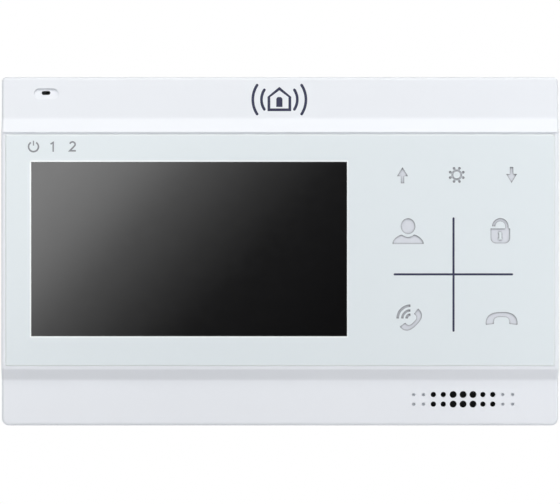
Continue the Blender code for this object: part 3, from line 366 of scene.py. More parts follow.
def makeFinish(name):
    look = finishes[name]
    material = bpy.data.materials.new(name)
    material.use_nodes = True
    tree = material.node_tree
    shader = tree.nodes["Principled BSDF"]
    place = (add(tree, "ShaderNodeTexCoord"), "Object")
    colour = add(tree, "ShaderNodeGroup", {
        "Place": place, "Scale": look["drift"], "First": (*look["first"], 1), "Second": (*look["second"], 1)},
        node_tree=toneGroup)
    if "spangle" in look:
        colour = addSpangle(tree, place, colour, look["spangle"])
    if "traces" in look:
        colour = addTraces(tree, place, colour, look["traces"])
    wear = add(tree, "ShaderNodeGroup", {"Place": place}, node_tree=wearGroup)
    colour = mixColours(tree, calculate(tree, "MULTIPLY", wear, look["wear"]), colour, (*look["worn"], 1))
    # painted shade in the hollows of the sunken marks, multiplied into the base colour
    if "shade" in look:
        colour = addPaintedShade(tree, colour, look["shade"])
    grain = add(tree, "ShaderNodeGroup", {"Place": place, "Scale": look["grain"]}, node_tree=grainGroup)
    mask, height = (grain, "Mask"), (grain, "Height")
    if "brushed" in look:
        lines = add(tree, "ShaderNodeGroup", {"Place": place, "Stretch": look["brushed"]},
                    node_tree=scratchGroup)
        mask = height = mixValues(tree, brushedShare, mask, lines)
    smoothest, roughest = look["rough"]
    rough = add(tree, "ShaderNodeMapRange", {"Value": mask, "To Min": smoothest, "To Max": roughest})
    bump = add(tree, "ShaderNodeBump", {"Strength": look["bump"], "Distance": bumpDistance, "Height": height})
    for label, value in {"Base Color": colour, "Roughness": rough, "Normal": bump, **look["shader"]}.items():
        feed(tree, shader.inputs[label], value)
    return material


finish = {name: makeFinish(name) for name in finishes}
print("stage:", len(finish), "finishes made")


# mesh helpers

def linkMesh(name, mesh, *materials):
    piece = bpy.data.objects.new(name, mesh)
    for material in materials:
        mesh.materials.append(finish[material])
    bpy.context.scene.collection.objects.link(piece)
    return piece


def fromBmesh(name, bm, *materials):
    mesh = bpy.data.meshes.new(name)
    bm.to_mesh(mesh)
    bm.free()
    return linkMesh(name, mesh, *materials)


def solids(name, parts, *materials):
    # closed bodies in one mesh, from pairs of a maker and what it takes
    bm = bmesh.new()
    for maker, values in parts:
        maker(bm, *values)
    return fromBmesh(name, bm, *materials)


def evaluated(piece):
    return bpy.data.meshes.new_from_object(piece.evaluated_get(bpy.context.evaluated_depsgraph_get()))


def plain(piece):
    # what the modifiers make of a piece, as its own mesh, with the modifiers gone
    mesh = evaluated(piece)
    piece.modifiers.clear()
    piece.data = mesh
    return piece


def smoothPiece(piece, angle):
    piece.data.shade_smooth()
    piece.data.set_sharp_from_angle(angle=math.radians(angle))
    piece.modifiers.new("evenNormals", "WEIGHTED_NORMAL").keep_sharp = True
    plain(piece)


def carve(piece, *cutters, operation="DIFFERENCE", selfCrossing=False):
    # one exact Boolean for each cutter, whose finish stays on the cut; then the cutters go
    for cutter in cutters:
        if not cutter.data.materials:
            cutter.data.materials.append(piece.data.materials[0])
        step = piece.modifiers.new("carve", "BOOLEAN")
        step.operation = operation
        step.solver = "EXACT"
        step.material_mode = "TRANSFER"
        step.use_self = selfCrossing
        step.object = cutter
    plain(piece)
    for cutter in cutters:
        bpy.data.objects.remove(cutter, do_unlink=True)


def easeEdges(piece, width):
    bevel = piece.modifiers.new("ease", "BEVEL")
    bevel.width = width
    bevel.segments = 2
    bevel.limit_method = "ANGLE"
    bevel.angle_limit = math.radians(40)
    bevel.miter_outer = "MITER_ARC"
    bevel.use_clamp_overlap = True
    plain(piece)


def addBlock(bm, low, high):
    centre = (Vector(low) + Vector(high)) / 2
    spot = Matrix.Translation(centre) @ Matrix.Diagonal((*(Vector(high) - Vector(low)), 1.0))
    return bmesh.ops.create_cube(bm, size=1.0, matrix=spot)["verts"]


def roundOff(bm, rule, width, segments):
    bmesh.ops.bevel(bm, geom=[e for e in bm.edges if rule(e)], offset=width, offset_type="OFFSET",
                    segments=segments, profile=0.5, affect="EDGES", clamp_overlap=True)


def roundFace(bm, y, width, segments):
    # rounds the edges that lie in the plane at this depth
    roundOff(bm, lambda e: all(abs(v.co.y - y) < 0.01 * mm for v in e.verts), width, segments)


def addSlab(bm, low, high, yFront, yBack, radius=0.0, segments=6):
    # plate facing the viewer between two (x, z) corners, with rounded corners
    own = set(addBlock(bm, (low[0], yFront, low[1]), (high[0], yBack, high[1])))
    if radius > 0:
        def upright(edge):
            along = (edge.verts[1].co - edge.verts[0].co).normalized()
            return own.issuperset(edge.verts) and abs(along.y) > 0.999
        roundOff(bm, upright, radius, segments)


def slabTool(low, high, yFront, yBack, radius=0.0, segments=6, name="slabTool"):
    return solids(name, [(addSlab, (low, high, yFront, yBack, radius, segments))])


def addRod(bm, spot, yFront, yBack, radius, sides=32):
    centre = Matrix.Translation((spot[0], (yFront + yBack) / 2, spot[1]))
    bmesh.ops.create_cone(bm, cap_ends=True, segments=sides, radius1=radius, radius2=radius,
                          depth=yBack - yFront, matrix=centre @ Matrix.Rotation(-math.pi / 2, 4, "X"))


def addPrism(bm, near, far):
    # two like rings of points joined into a closed body
    near, far = [bm.verts.new(p) for p in near], [bm.verts.new(p) for p in far]
    bm.faces.new(near[::-1])
    bm.faces.new(far)
    for i in range(len(near)):
        j = (i + 1) % len(near)
        bm.faces.new((near[i], near[j], far[j], far[i]))
    bmesh.ops.recalc_face_normals(bm, faces=bm.faces)


def flatShape(name, outlines, yFront, yBack, material):
    # closed outlines in (x, z), one inside another making a hole, thickened along Y
    weld = 0.0005 * mm
    curve = bpy.data.curves.new(name, "CURVE")
    curve.dimensions = "2D"
    curve.fill_mode = "BOTH"
    curve.extrude = (yBack - yFront) / 2
    for points in outlines:
        spline = curve.splines.new("POLY")
        spline.points.add(len(points) - 1)
        for point, (x, z) in zip(spline.points, points):
            point.co = (x, z, 0, 1)
        spline.use_cyclic_u = True
    guide = bpy.data.objects.new(name, curve)
    bpy.context.scene.collection.objects.link(guide)
    mesh = evaluated(guide)
    bpy.data.objects.remove(guide, do_unlink=True)
    mesh.transform(Matrix.Translation((0, (yFront + yBack) / 2, 0)) @ Matrix.Rotation(math.pi / 2, 4, "X"))
    bm = bmesh.new()
    bm.from_mesh(mesh)
    bmesh.ops.remove_doubles(bm, verts=bm.verts, dist=weld)
    bmesh.ops.recalc_face_normals(bm, faces=bm.faces)
    return fromBmesh(name, bm, material)


# outline helpers: lists of (x, z) points

def arc(centre, radii, start, stop, steps):
    # part of an ellipse, angles in degrees from +X towards +Z
    angles = [math.radians(start + (stop - start) * k / steps) for k in range(steps + 1)]
    return [(centre[0] + radii[0] * math.cos(a), centre[1] + radii[1] * math.sin(a)) for a in angles]


def moved(points, shift):
    return [(shift[0] + x, shift[1] + z) for x, z in points]


def turned(points, degrees, shift, grow=1.0):
    c, s = math.cos(math.radians(degrees)), math.sin(math.radians(degrees))
    return moved([(grow * (x * c - z * s), grow * (x * s + z * c)) for x, z in points], shift)


def scaled(points):
    return [(x * mm, z * mm) for x, z in points]


def frameOf(low, high, grow=0.0):
    (x0, z0), (x1, z1) = low, high
    return [(x0 - grow, z0 - grow), (x1 + grow, z0 - grow), (x1 + grow, z1 + grow), (x0 - grow, z1 + grow)]


def stroke(points, width, roundEnds=False):
    # outline of a line of even width through the points, with mitred corners
    half, sharpest, capSteps = width / 2, 0.4, 6
    line = [Vector(p) for p in points]
    left, right = [], []
    for i, point in enumerate(line):
        before = (point - line[i - 1]).normalized() if i else (line[1] - point).normalized()
        after = (line[i + 1] - point).normalized() if i < len(line) - 1 else before
        across = Vector((-(before.y + after.y), before.x + after.x)).normalized()
        reach = half / max(sharpest, across.dot(Vector((-before.y, before.x))))
        left.append(tuple(point + across * reach))
        right.append(tuple(point - across * reach))

    def cap(end, inner):
        outward = math.degrees(math.atan2((end - inner).y, (end - inner).x))
        return arc(end, (half, half), outward + 90, outward - 90, capSteps)[1:-1] if roundEnds else []

    return left + cap(line[-1], line[-2]) + right[::-1] + cap(line[0], line[1])


def ride(piece, body, slot, *replaced):
    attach(piece, body)
    if replaced:
        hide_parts(*replaced)
    print("stage:", piece.name, "ready,", len(piece.data.polygons), "faces")


def settle(piece, *places, angle=32):
    smoothPiece(piece, angle)
    ride(piece, *places)


# geometry nodes: trees for what repeats

def newTree(name, inputs):
    tree, start, end = openTree(name, "GeometryNodeTree", [("Geometry", "Geometry", None)] + inputs
                                + [("Material", "Material", None)], [("Geometry", "Geometry")])
    tree.is_modifier = True
    return tree, start, end


def closeTree(tree, start, end, copies):
    # makes the copies real and gives them their finish
    real = add(tree, "GeometryNodeRealizeInstances", {"Geometry": copies})
    paint = add(tree, "GeometryNodeSetMaterial", {"Geometry": real, "Material": (start, "Material")})
    feed(tree, end.inputs["Geometry"], paint)
    return tree


def turnToFront(tree, start, copies):
    # from the drawing plane to face the viewer
    return add(tree, "GeometryNodeTransform", {"Geometry": copies, "Rotation": (math.pi / 2, 0, 0),
                                               "Translation": (start, "Place")})


def rowSpan(tree, start, count, pitch):
    return calculate(tree, "MULTIPLY", calculate(tree, "SUBTRACT", (start, count), 1.0), (start, pitch))


def rowOf(tree, start, model):
    # copies of a model in a row along X, centred on the place
    begin = add(tree, "ShaderNodeCombineXYZ", {
        "X": calculate(tree, "MULTIPLY", rowSpan(tree, start, "Count", "Pitch"), -0.5)})
    step = add(tree, "ShaderNodeCombineXYZ", {"X": (start, "Pitch")})
    row = add(tree, "GeometryNodeMeshLine", {
        "Count": (start, "Count"), "Start Location": begin, "Offset": step})
    copies = add(tree, "GeometryNodeInstanceOnPoints", {"Points": row, "Instance": model})
    return turnToFront(tree, start, copies)


def runTree(name, tree, values, material, points=()):
    mesh = bpy.data.meshes.new(name)
    mesh.from_pydata([tuple(p) for p in points], [], [])
    piece = linkMesh(name, mesh)
    step = piece.modifiers.new("pattern", "NODES")
    step.node_group = tree
    keys = {item.name: item.identifier for item in tree.interface.items_tree
            if item.item_type == "SOCKET" and item.in_out == "INPUT"}
    for label, value in values.items():
        step[keys[label]] = value
    step[keys["Material"]] = finish[material]
    plain(piece)
    piece.data.materials.clear()    # drops the empty slot that came with the points
    piece.data.materials.append(finish[material])
    piece.data.polygons.foreach_set("material_index", [0] * len(piece.data.polygons))
    return piece


def makeGrilleTree():
    # grid of tapered plugs, wide in the middle columns and shallow in the outer ones
    lastWide, lastOpen = 1.5, 3.5       # in columns from the middle
    tree, start, end = newTree("grilleHoles", [
        ("Columns", "Int", 11), ("Rows", "Int", 2), ("Pitch", "Float", 0.003), ("Row Pitch", "Float", 0.003),
        ("Wide Radius", "Float", 0.001), ("Middle Radius", "Float", 0.0008),
        ("Dimple Radius", "Float", 0.0005), ("Depth", "Float", 0.002), ("Dimple Depth", "Float", 0.0004),
        ("Above", "Float", 0.001), ("Front Spread", "Float", 1.0), ("Sides", "Int", 28),
        ("Place", "Vector", (0, 0, 0))])

    def pick(test, whenFalse, whenTrue):
        return add(tree, "GeometryNodeSwitch", {"Switch": test, "False": whenFalse, "True": whenTrue},
                   input_type="FLOAT")

    grid = add(tree, "GeometryNodeMeshGrid", {
        "Size X": rowSpan(tree, start, "Columns", "Pitch"), "Size Y": rowSpan(tree, start, "Rows", "Row Pitch"),
        "Vertices X": (start, "Columns"), "Vertices Y": (start, "Rows")})
    parts = add(tree, "ShaderNodeSeparateXYZ", {"Vector": add(tree, "GeometryNodeInputPosition")})
    column = calculate(tree, "DIVIDE", calculate(tree, "ABSOLUTE", (parts, "X")), (start, "Pitch"))
    notWide = calculate(tree, "GREATER_THAN", column, lastWide)
    closed = calculate(tree, "GREATER_THAN", column, lastOpen)
    radius = pick(closed, pick(notWide, (start, "Wide Radius"), (start, "Middle Radius")),
                  (start, "Dimple Radius"))
    depth = pick(closed, (start, "Depth"), (start, "Dimple Depth"))
    plug = add(tree, "GeometryNodeMeshCone", {
        "Vertices": (start, "Sides"), "Radius Top": (start, "Front Spread"), "Radius Bottom": 1.0,
        "Depth": 1.0})
    size = add(tree, "ShaderNodeCombineXYZ", {"X": radius, "Y": radius,
                                              "Z": calculate(tree, "ADD", depth, (start, "Above"))})
    sink = add(tree, "ShaderNodeCombineXYZ", {"Z": calculate(tree, "MULTIPLY", depth, -1.0)})
    lower = add(tree, "GeometryNodeSetPosition", {"Geometry": grid, "Offset": sink})
    copies = add(tree, "GeometryNodeInstanceOnPoints", {"Points": lower, "Instance": plug, "Scale": size})
    return closeTree(tree, start, end, turnToFront(tree, start, copies))


def makeSlotRowTree():
    # row of upright slots with round ends
    cornerSteps = 6
    tree, start, end = newTree("slotRow", [
        ("Count", "Int", 13), ("Pitch", "Float", 0.004), ("Width", "Float", 0.0018),
        ("Height", "Float", 0.0075), ("Corner", "Float", 0.0008), ("Depth", "Float", 0.004),
        ("Place", "Vector", (0, 0, 0))])
    outline = add(tree, "GeometryNodeCurvePrimitiveQuadrilateral", {"Width": (start, "Width"),
                                                                    "Height": (start, "Height")})
    soften = add(tree, "GeometryNodeFilletCurve", {"Count": cornerSteps, "Curve": outline,
                                                   "Radius": (start, "Corner")}, mode="POLY")
    filled = add(tree, "GeometryNodeFillCurve", {"Curve": soften}, mode="NGONS")
    raised = add(tree, "GeometryNodeExtrudeMesh", {"Mesh": filled, "Offset Scale": (start, "Depth"),
                                                   "Individual": False})
    under = add(tree, "GeometryNodeFlipFaces", {"Mesh": filled})
    whole = add(tree, "GeometryNodeJoinGeometry", {"Geometry": under})
    feed(tree, whole.inputs["Geometry"], raised)
    sealed = add(tree, "GeometryNodeMergeByDistance", {"Geometry": whole, "Distance": 0.001 * mm})
    return closeTree(tree, start, end, rowOf(tree, start, sealed))


def makePinRowTree():
    # row of square pins with drawn-in tips
    tree, start, end = newTree("pinRow", [
        ("Count", "Int", 4), ("Pitch", "Float", 0.0025), ("Thick", "Float", 0.0006), ("Length", "Float", 0.003),
        ("Tip", "Float", 0.0006), ("Tip Share", "Float", 0.45), ("Place", "Vector", (0, 0, 0))])
    thick = (start, "Thick")
    bar = add(tree, "GeometryNodeMeshCube", {
        "Size": add(tree, "ShaderNodeCombineXYZ", {"X": thick, "Y": thick, "Z": (start, "Length")})})
    parts = add(tree, "ShaderNodeSeparateXYZ", {"Vector": add(tree, "GeometryNodeInputNormal")})
    tip = add(tree, "GeometryNodeExtrudeMesh", {
        "Mesh": bar, "Selection": calculate(tree, "LESS_THAN", (parts, "Z"), -0.5),
        "Offset Scale": (start, "Tip"), "Individual": False})
    drawn = add(tree, "GeometryNodeScaleElements", {"Geometry": tip, "Selection": (tip, "Top"),
                                                    "Scale": (start, "Tip Share")})
    return closeTree(tree, start, end, rowOf(tree, start, drawn))


def makeScatterTree():
    # one model, such as a screw, at each point of the mesh, each turned its own way about its axis
    tree, start, end = newTree("placedCopies", [("Model", "Object", None), ("Seed", "Int", 3),
                                                ("Most Turn", "Float", 3.0)])
    model = add(tree, "GeometryNodeObjectInfo", {"Object": (start, "Model")})
    turn = add(tree, "FunctionNodeRandomValue", {"Max": (start, "Most Turn"), "Seed": (start, "Seed")},
               data_type="FLOAT")
    copies = add(tree, "GeometryNodeInstanceOnPoints", {
        "Points": (start, "Geometry"), "Instance": (model, "Geometry"),
        "Rotation": add(tree, "ShaderNodeCombineXYZ", {"Y": turn})})
    return closeTree(tree, start, end, copies)


# front shell

shell = inMm({
    "barDrop": 2.5,               # the two bars lie this far behind the glass
    "rimDrop": 0.2,
    "topRamp": (37.35, 41.5),
    "bottomRamp": (-36.75, -40.1),
    "turn": 0.50,                 # softness of the ramps' ends
    "turnSteps": 4,
    "cornerTop": 1.5,
    "cornerBottom": 2.2,
    "cornerSteps": 8,
    "fillet": 0.95,
    "filletSteps": 6,
    "backEase": 0.15,
    "wall": 1.8,
    "roomCorner": 1.0,
    "webBackY": -18.6,
    "seatY": -20.1,
    "seatGap": (0.02, 0.04),      # beside the glass, and above and below it
    "openingY": -21.1,            # the openings for screen and keys start here
    "openingGap": 0.3,
    "seamLine": (36.60, 37.08),   # shallow line over the glass, from side to side
    "seamDeep": 0.45,
    "coverScrews": [(x, z) for x in (-80.0, 80.0) for z in (-48.0, 48.0)],
    "boardScrews": [(x, z) for x in (-72.0, 29.0) for z in (-40.0, 40.0)],
    "bracketScrews": [(-28.0, 35.2), (-28.0, -38.8)],
    "posts": {"coverScrews": (3.0, 1.5), "boardScrews": (2.5, 1.3), "bracketScrews": (2.0, 1.1)},
    "postEnds": {"boardScrews": -12.2, "bracketScrews": -14.6},
    "postRoot": 0.3,
    "pilotSkin": 0.8,             # left under the narrowest pilot hole
    "pilotSides": 20,
})
pilotSlope = 0.6                  # wider pilot holes stop this much of their radius earlier
microphone = inMm({"centre": (-72.9, 49.2), "scoop": (7.7, 3.4), "scoopCorner": 1.6,
                   "scoopCentre": (-73.05, 49.2), "slotCentre": (-73.2, 49.5), "slot": (2.7, 1.25),
                   "deep": 0.74, "shallow": 0.04, "ring": (4.4, 3.5), "ringY": (-16.2, -15.0)})
grille = inMm({"centre": (57.25, -46.32), "pitch": 3.095, "rowPitch": 3.0, "wide": 1.10, "middle": 0.84,
               "dimple": 0.50, "dimpleDepth": 1.15, "ease": 0.08, "through": 0.2})
easeSpread = 1.24                 # front radius of the ease over the hole's
speaker = inMm({"centre": (57.1, -42.3), "half": (19.0, 10.0), "fence": 1.5, "gap": 0.3,
                "fenceY": (-15.0, -14.0), "corners": (11.0, 9.8)})
mark = inMm({"centre": (-0.2, 47.6), "depth": 0.05, "half": (3.7, 3.8), "line": 0.85,
             "waves": (5.6, 8.3), "waveAngle": 33})
reach = inMm({"front": -30.0, "rear": 2.0, "clear": 1.0})     # cutters run out this far past the faces


def softProfile(corners, turn, steps):
    # (z, y) samples of a broken line whose corners are rounded
    made = [corners[0]]
    for before, here, after in zip(corners, corners[1:], corners[2:]):
        a, b, c = Vector(before), Vector(here), Vector(after)
        near = b + (a - b).normalized() * turn
        far = b + (c - b).normalized() * turn
        for k in range(steps + 1):
            t = k / steps
            made.append(tuple((1 - t) ** 2 * near + 2 * t * (1 - t) * b + t ** 2 * far))
    return made + [corners[-1]]


def readProfile(profile, z):
    for (z0, y0), (z1, y1) in zip(profile, profile[1:]):
        if z0 <= z <= z1:
            return y0 + (y1 - y0) * (z - z0) / (z1 - z0)
    return profile[0][1] if z < profile[0][0] else profile[-1][1]


def makeShellBody():
    # rings round the outline: back ease, side wall, fillet; then a ladder across the front
    low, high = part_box("front_bezel")
    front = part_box("front_glass")[0].y
    bar, rim = front + shell["barDrop"], front + shell["rimDrop"]
    bottomEnd, bottomStart = shell["bottomRamp"]
    topEnd, topStart = shell["topRamp"]
    profile = softProfile([(low.z, bar), (bottomStart, bar), (bottomEnd, rim), (topEnd, rim), (topStart, bar),
                           (high.z, bar)], shell["turn"], shell["turnSteps"])
    levels = [z for z, y in profile[1:-1]]
    corners = shell["cornerSteps"]

    def loop(inset, depth):
        # left side from the bottom corner up to the top one, moved inwards, then its mirror image
        r = shell["cornerBottom"]
        left = arc((low.x + r, low.z + r), (r - inset, r - inset), 270, 180, corners)
        left += [(low.x + inset, z) for z in levels]
        r = shell["cornerTop"]
        left += arc((low.x + r, high.z - r), (r - inset, r - inset), 180, 90, corners)
        return [bm.verts.new((x, depth(z), z)) for x, z in left + [(-x, z) for x, z in left[::-1]]]

    bm = bmesh.new()
    ease, fillet, steps = shell["backEase"], shell["fillet"], shell["filletSteps"]
    rings = [loop(ease, lambda z: high.y), loop(0.0, lambda z: high.y - ease)]
    for k in range(steps + 1):
        angle = math.radians(90 * k / steps)
        drop = fillet * (1 - math.sin(angle))
        rings.append(loop(fillet * (1 - math.cos(angle)), lambda z: readProfile(profile, z) + drop))
    count = len(rings[0])
    bm.faces.new(rings[0])
    for outer, inner in zip(rings, rings[1:]):
        for i in range(count):
            j = (i + 1) % count
            bm.faces.new((outer[i], outer[j], inner[j], inner[i]))
    last = rings[-1]
    for k in range(count // 2 - 1):
        bm.faces.new((last[k], last[k + 1], last[count - 2 - k], last[count - 1 - k]))
    bmesh.ops.recalc_face_normals(bm, faces=bm.faces)
    return fromBmesh("bezelShell", bm, "housingWhite")


def markOutlines():
    # plain house with a door, and a ringing wave on each side
    (w, h), line = mark["half"], mark["line"]
    eave = h * 0.18
    foot, sill, top = -h + line * 1.55, h * 0.02, h * 0.16      # of the door
    side, slant = w * 0.26, w * 0.14
    outer = [(-w, -h), (w, -h), (w, eave), (0, h), (-w, eave)]
    inner = [(-w + line, -h + line), (w - line, -h + line), (w - line, eave - line * 0.10),
             (0, h - line * 1.28), (-w + line, eave - line * 0.10)]
    door = [(-side, foot), (side, foot), (side, sill), (slant, top), (-slant, top), (-side, sill)]
    bend = mark["waveAngle"]
    waves = [stroke(arc((0, -0.05 * h), (radius, radius), middle - bend, middle + bend, 14), line, True)
             for radius in mark["waves"] for middle in (0, 180)]
    return [moved(points, mark["centre"]) for points in [outer, inner, door] + waves]


def grown(low, high, gap):
    # a box's (x, z) corners moved outwards
    return (low.x - gap, low.z - gap), (high.x + gap, high.z + gap)


def around(centre, half, gap=0.0):
    (x, z), (a, b) = centre, half
    return (x - a - gap, z - b - gap), (x + a + gap, z + b + gap)


def halved(size):
    return size[0] / 2, size[1] / 2


def makeFrontShell(grilleTree):
    piece = makeShellBody()
    low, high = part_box("front_bezel")
    glassLow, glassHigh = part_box("front_glass")
    bar = glassLow.y + shell["barDrop"]
    back, wall, clear = shell["webBackY"], shell["wall"], reach["clear"]
    carve(piece, slabTool(*grown(low, high, -wall), back, 0.0, shell["roomCorner"]))
    gapX, gapZ = shell["seatGap"]
    trim = panel["trim"] - gapZ
    carve(piece, slabTool((glassLow.x - gapX, glassLow.z + trim), (glassHigh.x + gapX, glassHigh.z - trim),
                          reach["front"], shell["seatY"], panel["corner"]))
    seamLow, seamHigh = shell["seamLine"]
    carve(piece, slabTool((low.x - wall, seamLow), (high.x + wall, seamHigh), reach["front"],
                          glassLow.y + shell["rimDrop"] + shell["seamDeep"]))
    gap = shell["openingGap"]
    (x0, z0), (x1, z1) = panel["screenLow"], panel["screenHigh"]
    openings = [((x0 - gap, z0 - gap), (x1 + gap, z1 + gap))]
    openings += [grown(*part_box(name), gap) for name in ("key_diffuser", "status_light_guide")]
    carve(piece, *[slabTool(*corners, shell["openingY"], back + clear) for corners in openings])

    # posts, speaker fence and microphone ring behind the web, then their bores
    root = back - shell["postRoot"]
    posts, pilots = [], []
    for key, (radius, pilot) in shell["posts"].items():
        for spot in shell[key]:
            posts.append((addRod, (spot, root, shell["postEnds"].get(key, high.y), radius)))
            skin = back + shell["pilotSkin"] + pilot * pilotSlope
            pilots.append((addRod, (spot, skin, clear, pilot, shell["pilotSides"])))
    fenceCorner, roomCorner = speaker["corners"]
    fenceEnd, roomEnd = speaker["fenceY"]
    ringOuter, ringInner = microphone["ring"]
    ringEnd, ringRoomEnd = microphone["ringY"]
    fence = around(speaker["centre"], speaker["half"], speaker["fence"])
    room = around(speaker["centre"], speaker["half"], speaker["gap"])
    carve(piece, solids("bosses", posts), operation="UNION")
    carve(piece, solids("fences", [(addRod, (microphone["centre"], root, ringEnd, ringOuter)),
                                   (addSlab, (*fence, root, fenceEnd, fenceCorner, 10))]), operation="UNION")
    carve(piece, solids("pockets", pilots + [
        (addSlab, (*room, back, roomEnd, roomCorner, 10)),
        (addRod, (microphone["centre"], back, ringRoomEnd, ringInner))]))

    # microphone scoop: deep at its upper edge, running out at the lower one
    half = halved(microphone["scoop"])
    scoop = slabTool(*around(microphone["scoopCentre"], half), bar - 2 * clear, bar + clear,
                     microphone["scoopCorner"], 8)
    bottom = microphone["scoopCentre"][1] - half[1]
    for vert in scoop.data.vertices:
        if vert.co.y > bar:
            share = (vert.co.z - bottom) / (2 * half[1])
            vert.co.y = bar + microphone["shallow"] + (microphone["deep"] - microphone["shallow"]) * share
    carve(piece, scoop)
    half = halved(microphone["slot"])
    carve(piece, slabTool(*around(microphone["slotCentre"], half), bar - 2 * clear, back + clear,
                          half[1] * 0.98, 8))

    # grille: the holes, then a small ease round each front edge
    x, z = grille["centre"]
    sizes = {"Pitch": grille["pitch"], "Row Pitch": grille["rowPitch"], "Wide Radius": grille["wide"],
             "Middle Radius": grille["middle"], "Dimple Radius": grille["dimple"],
             "Depth": back - bar + grille["through"], "Dimple Depth": grille["dimpleDepth"],
             "Place": (x, bar, z)}
    carve(piece, runTree("grilleHoles", grilleTree, sizes, "housingWhite"))
    sizes.update({"Depth": grille["ease"], "Dimple Depth": grille["ease"], "Above": grille["ease"],
                  "Front Spread": easeSpread})
    carve(piece, runTree("grilleEase", grilleTree, sizes, "housingWhite"))

    carve(piece, flatShape("markInk", markOutlines(), bar - clear, bar + mark["depth"], "printNavy"))
    settle(piece, "monitor", "housing", "front_bezel")


# front panel: white glass with its window and legends

panel = inMm({
    "edge": 0.42,                 # chamfer round the front
    "corner": 0.45,
    "trim": 0.08,                 # the glass is drawn this much short of its seat
    "screenLow": (-77.6, -26.5),
    "screenHigh": (20.9, 27.9),
    "screenSink": 0.14,
    "lineWidth": 0.42,            # pale line round the window
    "lineSink": 0.05,
    "legendSink": 0.40,
    "inkSink": 0.05,
    "cross": {"middle": (54.1, -7.2), "left": 35.4, "right": 72.7, "bottom": -25.1, "top": 10.6,
              "width": 0.66},
})


# legends, drawn in millimetres on the face

def superArc(a, b, start, stop, steps, power):
    made = []
    for k in range(steps + 1):
        angle = math.radians(start + (stop - start) * k / steps)
        c, s = math.cos(angle), math.sin(angle)
        made.append((a * math.copysign(abs(c) ** (2 / power), c), b * math.copysign(abs(s) ** (2 / power), s)))
    return made


def handset():
    # telephone handset lying on its face, 9.9 wide and 4 high
    inner = superArc(2.40, 2.15, 180, 0, 20, 3.4)
    return [(4.85, -0.25)] + superArc(4.95, 3.75, 0, 180, 28, 2.6) + [(-4.85, -0.25)] + moved(inner, (0, 0.05))


def arrow(flip):
    head, shaft = 1.70, 0.53
    tip, neck = 2.5 * flip, -0.3 * flip
    return [(0, tip), (head, neck), (shaft, neck), (shaft, -tip), (-shaft, -tip), (-shaft, neck), (-head, neck)]


def gear():
    ring, tooth, out, neck, hole = 1.67, 0.42, 2.20, 35, 1.08
    half = math.degrees(math.asin(tooth * math.sin(math.radians(neck)) / ring))
    outline = []
    for k in range(8):
        angle = 22.5 + 45 * k
        outline += arc((0, 0), (ring, ring), angle - 45 + half, angle - half, 5)
        centre = (out * math.cos(math.radians(angle)), out * math.sin(math.radians(angle)))
        outline += arc(centre, (tooth, tooth), angle - 180 + neck, angle + 180 - neck, 12)
    return [outline, arc((0, 0), (hole, hole), 0, 348, 29)]


def person():
    centre = (39.93, 7.83)
    slope = [(35.07, 2.30), (35.10, 2.75), (35.32, 3.30), (35.72, 3.85), (36.35, 4.43), (37.20, 4.93),
             (37.75, 5.13)]
    mirrored = [(2 * centre[0] - x, z) for x, z in slope[::-1]]
    return [arc(centre, (2.27, 2.46), 0, 352, 44), slope + arc(centre, (2.9, 3.4), 231, 309, 16) + mirrored]


def padlock():
    cx, zc, outer, inner = 68.69, 7.77, 2.55, 1.55        # shackle
    left, right, bottom, top, r = 65.65, 71.75, 2.45, 7.1, 1.7
    body = [(left, top), (cx + inner, top)] + arc((cx, zc), (inner, inner), 0, 180, 20)
    body += arc((cx, zc), (outer, outer), 180, 0, 26) + [(cx + outer, top), (right, top)]
    body += arc((right - r, bottom + r), (r, r), 0, -90, 8) + arc((left + r, bottom + r), (r, r), 270, 180, 8)
    beam = [(-0.55, 1.17), (-0.55, 0.85), (-0.36, 0.80), (-0.36, -0.80), (-0.62, -0.85), (-0.62, -1.17),
            (0.62, -1.17), (0.62, -0.85), (0.38, -0.80), (0.38, 1.17)]
    return [body, moved(beam, (68.7, 4.80))]


def talking():
    waves = ((3.97, 0.78), (2.50, 0.72), (1.15, 0.80))
    return [turned(handset(), -135, (40.35, -20.85), 0.82)] + [
        stroke(arc((40.65, -20.95), (radius, radius), 90, 180, 16), width) for radius, width in waves]


def statusOutlines():
    power = (-76.86, 32.6)
    bend = arc((0, 0.62), (0.82, 0.78), 165, -38, 12)
    return [stroke(arc(power, (1.54, 1.54), 122, 418, 30), 0.50),
            stroke(moved([(0, 0.35), (0, 1.85)], power), 0.36),
            stroke(moved([(-0.82, 0.80), (0.0, 1.30), (0.0, -1.58)], (-70.72, 32.6)), 0.45),
            stroke(moved(bend + [(-0.85, -1.38), (1.05, -1.38)], (-64.7, 32.7)), 0.50)]


def crossOutline():
    cross = panel["cross"]
    x, z = cross["middle"]
    half = cross["width"] / 2
    ends = ((x, cross["top"] - half), (cross["left"] + half, z), (x, cross["bottom"] + half),
            (cross["right"] - half, z))
    outline = []
    for k, end in enumerate(ends):
        outline += turned([(half, half)], 90 * k, (x, z)) + arc(end, (half, half), 90 * k, 90 * k + 180, 6)
    return outline


